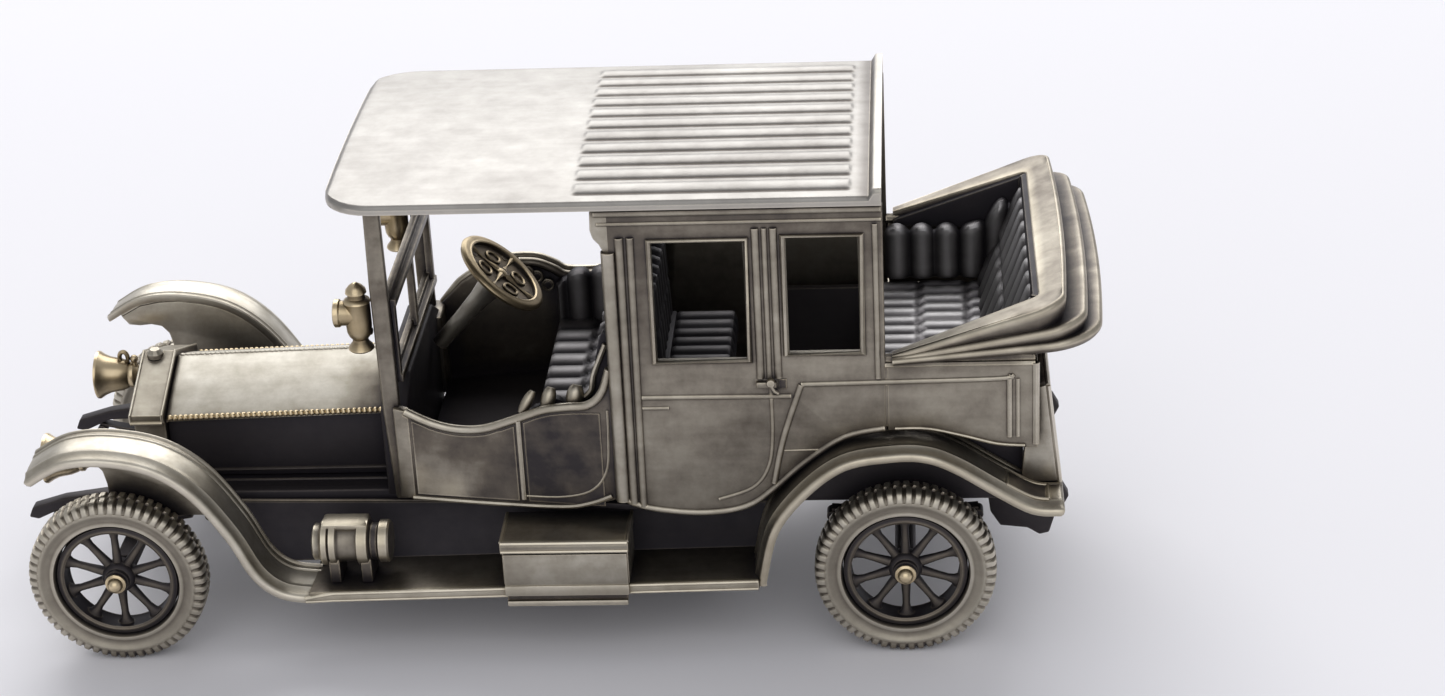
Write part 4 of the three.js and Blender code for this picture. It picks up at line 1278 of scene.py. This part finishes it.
def driver_arm_form():
    """The higher seat side at the wheel, with a beaded edge and three buttoned dimples, whose depth is
    painted shade.
    """
    form = Form(0.6)
    edge = spline(driver_sill[5:], 24)
    inset = 1.15
    form.tube([(x, -on_panel(x, z)[1] + inset, z - 0.15) for x, z in edge], 0.42, sides=12, wear=0.75)
    for x, z in ((3.9, 22.5), (3.1, 22.0), (2.2, 21.1)):
        centre = (x, -on_panel(x, z)[1] + inset + 0.1, z - 0.1)
        # Each dimple is a low plug with wear near 0 inside a bead ring: painted shade for the depth of the
        # hole.
        dimple = [(0, -0.2, 0.0), (0.42, -0.2, 0.0), (0.4, 0.28, 0.05), (0.2, 0.36, 0.0), (0, 0.3, 0.0)]
        form.turned(dimple, centre, (0, 1, 0), 18)
        ring = [(x + 0.48 * math.cos(t), centre[1] + 0.25, z - 0.1 + 0.5 * math.sin(t)) for t in turns(20)]
        form.tube(ring, 0.12, loop=True, wear=0.6)
    return form


def footwell_form():
    """A near-black block on the floor, painted shade where the toe board's slot is, and a pedal, by the
    passenger's side panel.
    """
    form = Form(0.3)
    floor_z = span("body_floor")[0].z + 0.55
    # The slot is not cut: this flat block with wear 0 paints its shade.
    form.block((4.6, 5.6, floor_z), (9.2, 6.6, floor_z + 0.18), 0.08, wear=0.0)
    form.tube([(8.7, 6.9, floor_z + 0.2), (7.6, 7.0, floor_z + 0.2)], 0.16, wear=1.0)
    return form


side_sills = {"left": passenger_sill, "right": driver_sill}
post_depths = {"left": 0.9, "right": 3.6}
for side_name in SIDES:
    refined(f"front_side_{side_name}", dusky, 0.14, wear=0.55)
    edge_beads = front_body_beads(side_sills[side_name], post_depths[side_name])
    piece(f"front_body_beads_{side_name}", edge_beads.on_side(side_name), aged)
    door = panel_field_form(2.5, 11.0, passenger_sill[:5], front_field_wear)
    piece(f"front_door_field_{side_name}", door.on_side(side_name), dusky)
    beside_seat = panel_field_form(-4.6, 1.7, passenger_sill[4:] + [(-4.8, 21.8)], rear_field_wear)
    piece(f"front_seat_field_{side_name}", beside_seat.on_side(side_name), dusky)
piece("seat_arm_rolls", arm_roll_form(), aged)
piece("driver_seat_side", driver_arm_form(), dusky)
piece("footwell_pedal", footwell_form(), oxidised)


# ---- Cabin and rear body ----
windows = [((-16.8, -9.3), (25.9, 36.3)), ((-25.65, -19.65), (26.4, 36.5))]
cabin_rear_x = span("cabin_side_left")[0].x
tub_low, tub_high = span("rear_tub")


def on_side(x, z, out=0.0):
    """A point on the outer face of the cabin's left side, or out from it."""
    return (x, side_y + out, z)


def cabin_mouldings():
    """The raised beads of the left cabin side, and the strip over its joint with the tub."""
    form = Form(0.95)

    def bead(points, radius, wear=0.95, smooth=0):
        run = spline(points, smooth) if smooth else points
        sunk = 0.3 * radius + 0.05
        form.tube([on_side(x, z, -sunk) for x, z in run], radius * 1.35, sides=12, wear=wear * 0.92)

    bead([(-6.1, 13.6), (-6.15, 35.4)], 0.44, 0.78)
    bead([(-6.95, 13.3), (-7.05, 36.6)], 0.3, 0.6)
    bead([(-7.7, 13.0), (-7.9, 36.6)], 0.26, 0.58)
    for (left, right), (foot, head) in windows:
        corners = [(left, foot), (right, foot), (right, head), (left, head)]
        form.tube([on_side(x, z, -0.06) for x, z in corners], 0.3, wear=0.66, loop=True)
    for x, radius in ((-17.55, 0.26), (-18.25, 0.2), (-18.95, 0.26)):
        bead([(x, 24.4), (x, 37.2)], radius, 0.58)
    bead([(-5.4, 37.75), (cabin_rear_x + 0.1, 37.75)], 0.15, 0.6)
    bead([(-5.2, 38.65), (cabin_rear_x + 0.1, 38.65)], 0.26, 0.7)
    bead([(-8.1, 22.8), (-19.9, 22.75)], 0.19, 0.75)
    bead([(-8.1, 21.85), (-10.2, 21.85)], 0.14, 0.7)
    belly = [(-6.2, 13.75), (-8, 12.95), (-11.4, 12.45), (-14.3, 12.55), (-16.4, 13.15), (-18.2, 14.5),
             (-20.8, 16.85), (-24, 19.05), (-27.2, 19.75)]
    bead(belly, 0.22, 0.72, 40)
    door = [(-18.3, 24.0), (-18.3, 19.2), (-17.85, 16.4), (-16.5, 14.6), (-13.8, 13.6)]
    bead(door, 0.14, 0.62, 24)
    bead([(-20.7, 23.75), (-19.35, 19.7), (-18.75, 17.3), (-18.3, 15.0)], 0.22, 0.78, 16)
    bead([(-20.7, 23.75), (-27.5, 23.85), (-36.3, 24.0), (-37.1, 24.35)], 0.19, 0.75, 30)
    bead([(-19.2, 17.9), (-22.6, 17.95)], 0.09, 0.6)
    bead([(-26.75, 24.2), (-26.75, 37.4)], 0.2, 0.66)
    joint_x = cabin_rear_x - 0.1
    form.block((joint_x - 0.5, side_y - 0.6, 19.95), (joint_x + 0.6, side_y - 0.03, 25.3), 0.02, wear=0.5)
    return form


def tub_mouldings():
    """The tub's beads, and the rounded bars that close the gap between its top and the hood."""
    form = Form(0.9)
    for x, radius in ((-37.0, 0.24), (-37.65, 0.18)):
        form.tube([on_side(x, z, -0.05) for z in (18.9, 24.0)], radius, wear=0.72)
    edge = [(-28, 19.75), (-30.6, 19.7), (-33.5, 19.0), (-36, 18.3), (-38.2, 18.1)]
    form.tube([on_side(x, z) for x, z in spline(edge, 20)], 0.15, wear=0.7)
    form.tube([(tub_low.x + 0.15, side_y - 0.15, z) for z in (18.2, tub_high.z)], 0.3, wear=0.72)
    for rise, out, radius, wear in ((-0.1, -0.3, 0.34, 0.66), (0.3, -0.55, 0.45, 0.5)):
        bar = [on_side(x, tub_high.z + rise, out) for x in (-27.3, tub_low.x + 0.2)]
        form.tube(bar, radius, wear=wear)
    return form


def bracket_form():
    """The curved bracket that carries the roof in front of the cabin's pillar."""
    form = Form(0.6)
    curve = [(-6.3, 33.8), (-6.0, 34.3), (-5.85, 35.2), (-5.5, 36.0), (-5.05, 36.5), (-4.85, 37.2),
             (-4.9, 38.85), (-6.3, 38.85)]
    form.slab(curve, side_place, side_y - 0.75, side_y + 0.02, 0.16, wear=0.7)
    return form


def handle_form():
    """A small knob with a short lever, beside the dark plate on the door."""
    form = Form(0.9)
    knob = [(0, 0), (0.3, 0), (0.24, 0.2), (0.36, 0.4), (0.3, 0.62), (0, 0.68)]
    form.turned(knob, on_side(-18.35, 24.15), (0, 1, 0), 16)
    lever = [on_side(-18.3, 24.0, 0.4), on_side(-18.6, 23.4, 0.38), on_side(-18.9, 23.15, 0.3)]
    form.tube(lever, 0.14, wear=0.8)
    form.block(on_side(-19.6, 23.4, -0.1), on_side(-18.9, 24.3, 0.06), 0.05, wear=0.0)
    return form


def cabin_darker_to_roof(point):
    """The cabin's sides are darker towards the roof."""
    low, high = span("cabin_side_left")
    return 0.5 - 0.36 * smooth_step(point.z / MM, low.z + 0.55 * (high.z - low.z), high.z)


for side_name in SIDES:
    refined(f"cabin_side_{side_name}", aged, 0.1, wear=cabin_darker_to_roof)
    for trim_name, maker in (("cabin_mouldings", cabin_mouldings), ("tub_mouldings", tub_mouldings),
                             ("roof_bracket", bracket_form), ("door_handle", handle_form)):
        piece(f"{trim_name}_{side_name}", maker().on_side(side_name), aged)
refined("partition", oxidised, 0.12)
refined("rear_tub", aged, 0.3, wear=0.5)


# ---- Roof ----
rib_count = 11


def roof_form():
    """A crowned sheet with round front corners, ribs over the cabin and a turned-up rear lip. The ribs'
    crests carry a painted highlight and their feet a painted shadow.
    """
    low, high = span("roof")
    half = high.y
    corner = 4.0
    rib_front, rib_rear = pillar_x + 2.6, low.x + 2.2
    rib_pitch = 2 * (half - 0.75) / (rib_count + 0.4)
    edge_z = low.z + 0.8
    crown = 0.6
    form = Form(0.62)
    rise = 0.2
    stations = [low.x, low.x + 0.1, low.x + 0.35, low.x + 0.6, low.x + 0.72, low.x + 0.95, low.x + 1.3]
    stations += [mix(rib_rear - 0.2, rib_rear + 0.7, i / 6) for i in range(7)]
    stations += [mix(rib_rear + 1.5, rib_front - 1.6, i / 14) for i in range(15)]
    stations += [mix(rib_front - 1.2, rib_front + 0.1, i / 9) for i in range(10)]
    stations += [mix(rib_front + 1.5, high.x - corner, i / 10) for i in range(11)]
    corner_turns = (12, 24, 36, 48, 58, 66, 73, 79, 84, 88)
    stations += [high.x - corner + corner * math.sin(math.radians(turn)) for turn in corner_turns]
    across = 330
    rings = []
    for x in stations:
        into = max(0.0, x - (high.x - corner))
        wide = half - corner + math.sqrt(max(0.0, corner ** 2 - into ** 2))
        front_drop = 0.35 * smooth_step(x, high.x - 0.5, high.x)
        lip = smooth_step(x, low.x + 0.95, low.x + 0.55) if x > low.x + 0.5 else 1.0
        ribbed = smooth_step(x, rib_rear, rib_rear + 0.35) * (1 - smooth_step(x, rib_front - 0.55, rib_front))
        valley = smooth_step(x, low.x + 0.6, low.x + 0.9)
        valley *= 1 - smooth_step(x, rib_rear - 0.7, rib_rear - 0.2)
        ring = []
        for j in range(across + 1):
            y = wide * (-1 + 2 * j / across)
            z = edge_z + crown * (1 - (y / half) ** 2)
            rib_phase = y / rib_pitch - round(y / rib_pitch)
            bump = max(0.0, 1 - (rib_phase / 0.36) ** 2)
            # foot is a thin line along each rib's +Y side, darkened below as painted shadow.
            foot = math.exp(-((rib_phase - 0.4) / 0.055) ** 2)
            inside = abs(y) < rib_pitch * (rib_count / 2)
            ribs = ribbed if inside else 0.0
            z += ribs * (rise * bump - 0.07 * foot)
            # Painted light on the ribs: bump lightens each crest as a painted highlight, and foot darkens a
            # line at its foot as a painted shadow.
            wear = 0.62 - 0.3 * valley + ribs * (0.12 * bump - 0.1 - 0.5 * foot)
            side_fall = smooth_step(abs(y), wide - 0.35, wide)
            z -= 0.3 * side_fall + front_drop
            z += lip * 0.62
            wear = max(wear, 0.9 * lip, 0.85 * side_fall)
            ring.append((x, y, z, wear))
        rim_z = low.z + 0.12 + front_drop * 0.3
        ring += [(x, wide, rim_z, 0.9), (x, wide - 0.3, low.z, 0.3)]
        ring += [(x, 0.3 - wide, low.z, 0.3), (x, -wide, rim_z, 0.9)]
        rings.append(ring)
    form.loft(rings)
    return form


piece("roof_sheet", roof_form(), bright, replaces=["roof"], crease=55)


# ---- Folded hood ----
hinge_x, hinge_z = -27.9, 25.6
hood_folds = [
    {"rear_x": -41.8, "low": 29.0, "high": 31.2, "half": 15.6, "corner": 1.8},
    {"rear_x": -43.5, "low": 28.0, "high": 29.5, "half": 15.8, "corner": 2.7},
    {"rear_x": -44.7, "low": 27.3, "high": 28.3, "half": 16.0, "corner": 3.6},
]


def u_route(front_x, front_y, rear_x, rear_y, corner, bow, steps=10):
    """Half of a U in plan, from the front left end round to the middle of the rear."""
    bend_x = rear_x + corner + bow
    route = [(mix(front_x, bend_x, i / steps), mix(front_y, rear_y, i / steps)) for i in range(steps)]
    for i in range(steps):
        turn = math.pi / 2 * i / steps
        x = bend_x - (corner + bow * 0.55) * math.sin(turn)
        route.append((x, rear_y - corner * (1 - math.cos(turn))))
    for i in range(steps + 1):
        t = i / steps
        route.append((rear_x + bow * 0.45 * (1 - t) ** 2, mix(rear_y - corner, 0, t)))
    return route


def hood_fold_form(rear_x, low, high, half, corner):
    """One fold of the hood: a flat U that climbs to the rear, rolled over along its outer edge."""
    inner = u_route(hinge_x, 13.7, -39.3, 12.6, 0.5, 0.0)
    outer = u_route(hinge_x, half - 0.9, rear_x, half, corner, 0.9)
    near = list(zip(inner, outer))
    far = [((ix, -iy), (ox, -oy)) for (ix, iy), (ox, oy) in reversed(near[:-1])]

    def height_at(x, foot, head):
        start_x = hinge_x + 1
        return mix(foot, head, (x - start_x) / (rear_x - start_x))

    form = Form(0.6)
    rings = []
    quarter = math.pi / 2
    for (ix, iy), (ox, oy) in near + far:
        inside = Vector((ix, iy, 0))
        outside = Vector((ox, oy, 0))
        width = (outside - inside).length
        out = (outside - inside).normalized()
        top_in, top_out = (height_at(x, hinge_z + 0.3, high) for x in (ix, ox))
        low_in, low_out = (height_at(x, hinge_z - 0.2, low) for x in (ix, ox))
        r = min(0.38, (top_out - low_out) * 0.42)
        # From the foot of the inner edge over the top to the foot of the outer edge.
        section = [(inside, low_in + 0.05, 0.1), (inside, top_in - 0.18, 0.7),
                   (inside + out * 0.06, top_in - 0.05, 1.0), (inside + out * 0.2, top_in, 0.9)]
        for share in (0.35, 0.65, 0.85):
            section.append((inside + out * width * share, mix(top_in, top_out, share) + 0.05, 0.68))
        for k in range(7):
            turn = quarter * k / 6
            section.append((outside - out * r * (1 - math.sin(turn)), top_out - r * (1 - math.cos(turn)),
                            mix(0.75, 1.0, k / 6)))
        for k in range(1, 5):
            turn = quarter * k / 4
            section.append((outside - out * r * 0.9 * (1 - math.cos(turn)),
                            mix(top_out - r, low_out, turn / quarter), mix(0.75, 0.25, k / 4)))
        rings.append([(point.x, point.y, z, wear) for point, z, wear in section])
    form.loft(rings)
    return form


def hood_form():
    """The folds as one form, the shortest on top."""
    form = Form()
    for fold in hood_folds:
        part = hood_fold_form(**fold)
        start = len(form.points)
        form.points += part.points
        form.wear += part.wear
        form.faces += [tuple(start + i for i in f) for f in part.faces]
    return form


def hood_lining_form():
    """The dark inner wall from the hood's rim down to the body."""
    form = Form(0.25)
    foot = tub_high.z - 0.1
    rear_x = -39.4
    half_route = u_route(hinge_x, 13.75, rear_x, 12.7, 0.5, 0.0)
    rings = []
    for x, y in half_route + [(x, -y) for x, y in reversed(half_route[:-1])]:
        top = mix(25.75, 30.2, (x - hinge_x) / (rear_x - hinge_x))
        inward_x = 0 if abs(y) > 12.6 else 1
        inward_y = 0 if abs(y) < 11 else -math.copysign(1, y)
        rings.append([(x + inward_x * depth, y + inward_y * depth, z) for depth, z in
                      ((0, foot), (0, top), (0.5, top - 0.12), (0.6, top - 0.5), (0.6, foot))])
    form.loft(rings)
    return form


piece("folded_hood_lining", hood_lining_form(), oxidised)
piece("folded_hood_leather", hood_form(), hooding, replaces=["folded_hood"], crease=50)


# ---- Stage, light and camera ----
def stage_material():
    shader = bpy.data.materials.new("pale_floor")
    shader.use_nodes = True
    surface = shader.node_tree.nodes["Principled BSDF"]
    surface.inputs["Base Color"].default_value = (0.83, 0.82, 0.85, 1)
    surface.inputs["Roughness"].default_value = 0.8
    surface.inputs["Specular IOR Level"].default_value = 0.2
    return shader


def build_floor():
    reach = 3.0
    mesh = bpy.data.meshes.new("floor")
    corners = [(-reach, -reach, 0), (reach, -reach, 0), (reach, reach, 0), (-reach, reach, 0)]
    mesh.from_pydata(corners, [], [(0, 1, 2, 3)])
    floor = bpy.data.objects.new("floor", mesh)
    floor.data.materials.append(stage_material())
    bpy.context.scene.collection.objects.link(floor)


def area_light(name, place, target, size, power):
    data = bpy.data.lights.new(name, "AREA")
    data.size = size
    data.energy = power
    light = bpy.data.objects.new(name, data)
    light.location = place
    light.rotation_mode = "QUATERNION"
    light.rotation_quaternion = (Vector(target) - Vector(place)).to_track_quat("-Z", "Y")
    bpy.context.scene.collection.objects.link(light)


def build_world():
    world = bpy.data.worlds.new("soft_tent")
    bpy.context.scene.world = world
    world.use_nodes = True
    back = world.node_tree.nodes["Background"]
    back.inputs["Color"].default_value = (0.95, 0.96, 1.0, 1)
    back.inputs["Strength"].default_value = 0.52


def build_camera():
    """The viewpoint of the photo: above the car's left side, turned a little and slightly rolled."""
    azimuth = math.radians(184.226)
    elevation = math.radians(25.757)
    roll = math.radians(-2.812)
    distance = 249.36
    target = Vector((-13.6, 0, 20.09))
    flat = math.cos(elevation)
    back = Vector((math.sin(azimuth) * flat, -math.cos(azimuth) * flat, math.sin(elevation)))
    right = (-back).cross(Vector((0, 0, 1))).normalized()
    up = right.cross(-back)
    rolled_right = right * math.cos(roll) + up * math.sin(roll)
    rolled_up = up * math.cos(roll) - right * math.sin(roll)
    data = bpy.data.cameras.new("camera")
    data.sensor_width = 36
    data.lens = 74.39
    data.clip_start = 0.01
    camera = bpy.data.objects.new("camera", data)
    turn = Matrix((rolled_right, rolled_up, back)).transposed().to_4x4()
    camera.matrix_world = Matrix.Translation((target + back * distance) * MM) @ turn
    bpy.context.scene.collection.objects.link(camera)
    bpy.context.scene.camera = camera


build_floor()
build_world()
area_light("key", (0.06, -0.75, 0.66), (-0.005, 0, 0.02), 1.0, 9.0)
area_light("fill", (0.0, 0.75, 0.5), (0, 0, 0.02), 0.9, 2.2)
build_camera()
bpy.context.scene.view_settings.view_transform = "Standard"
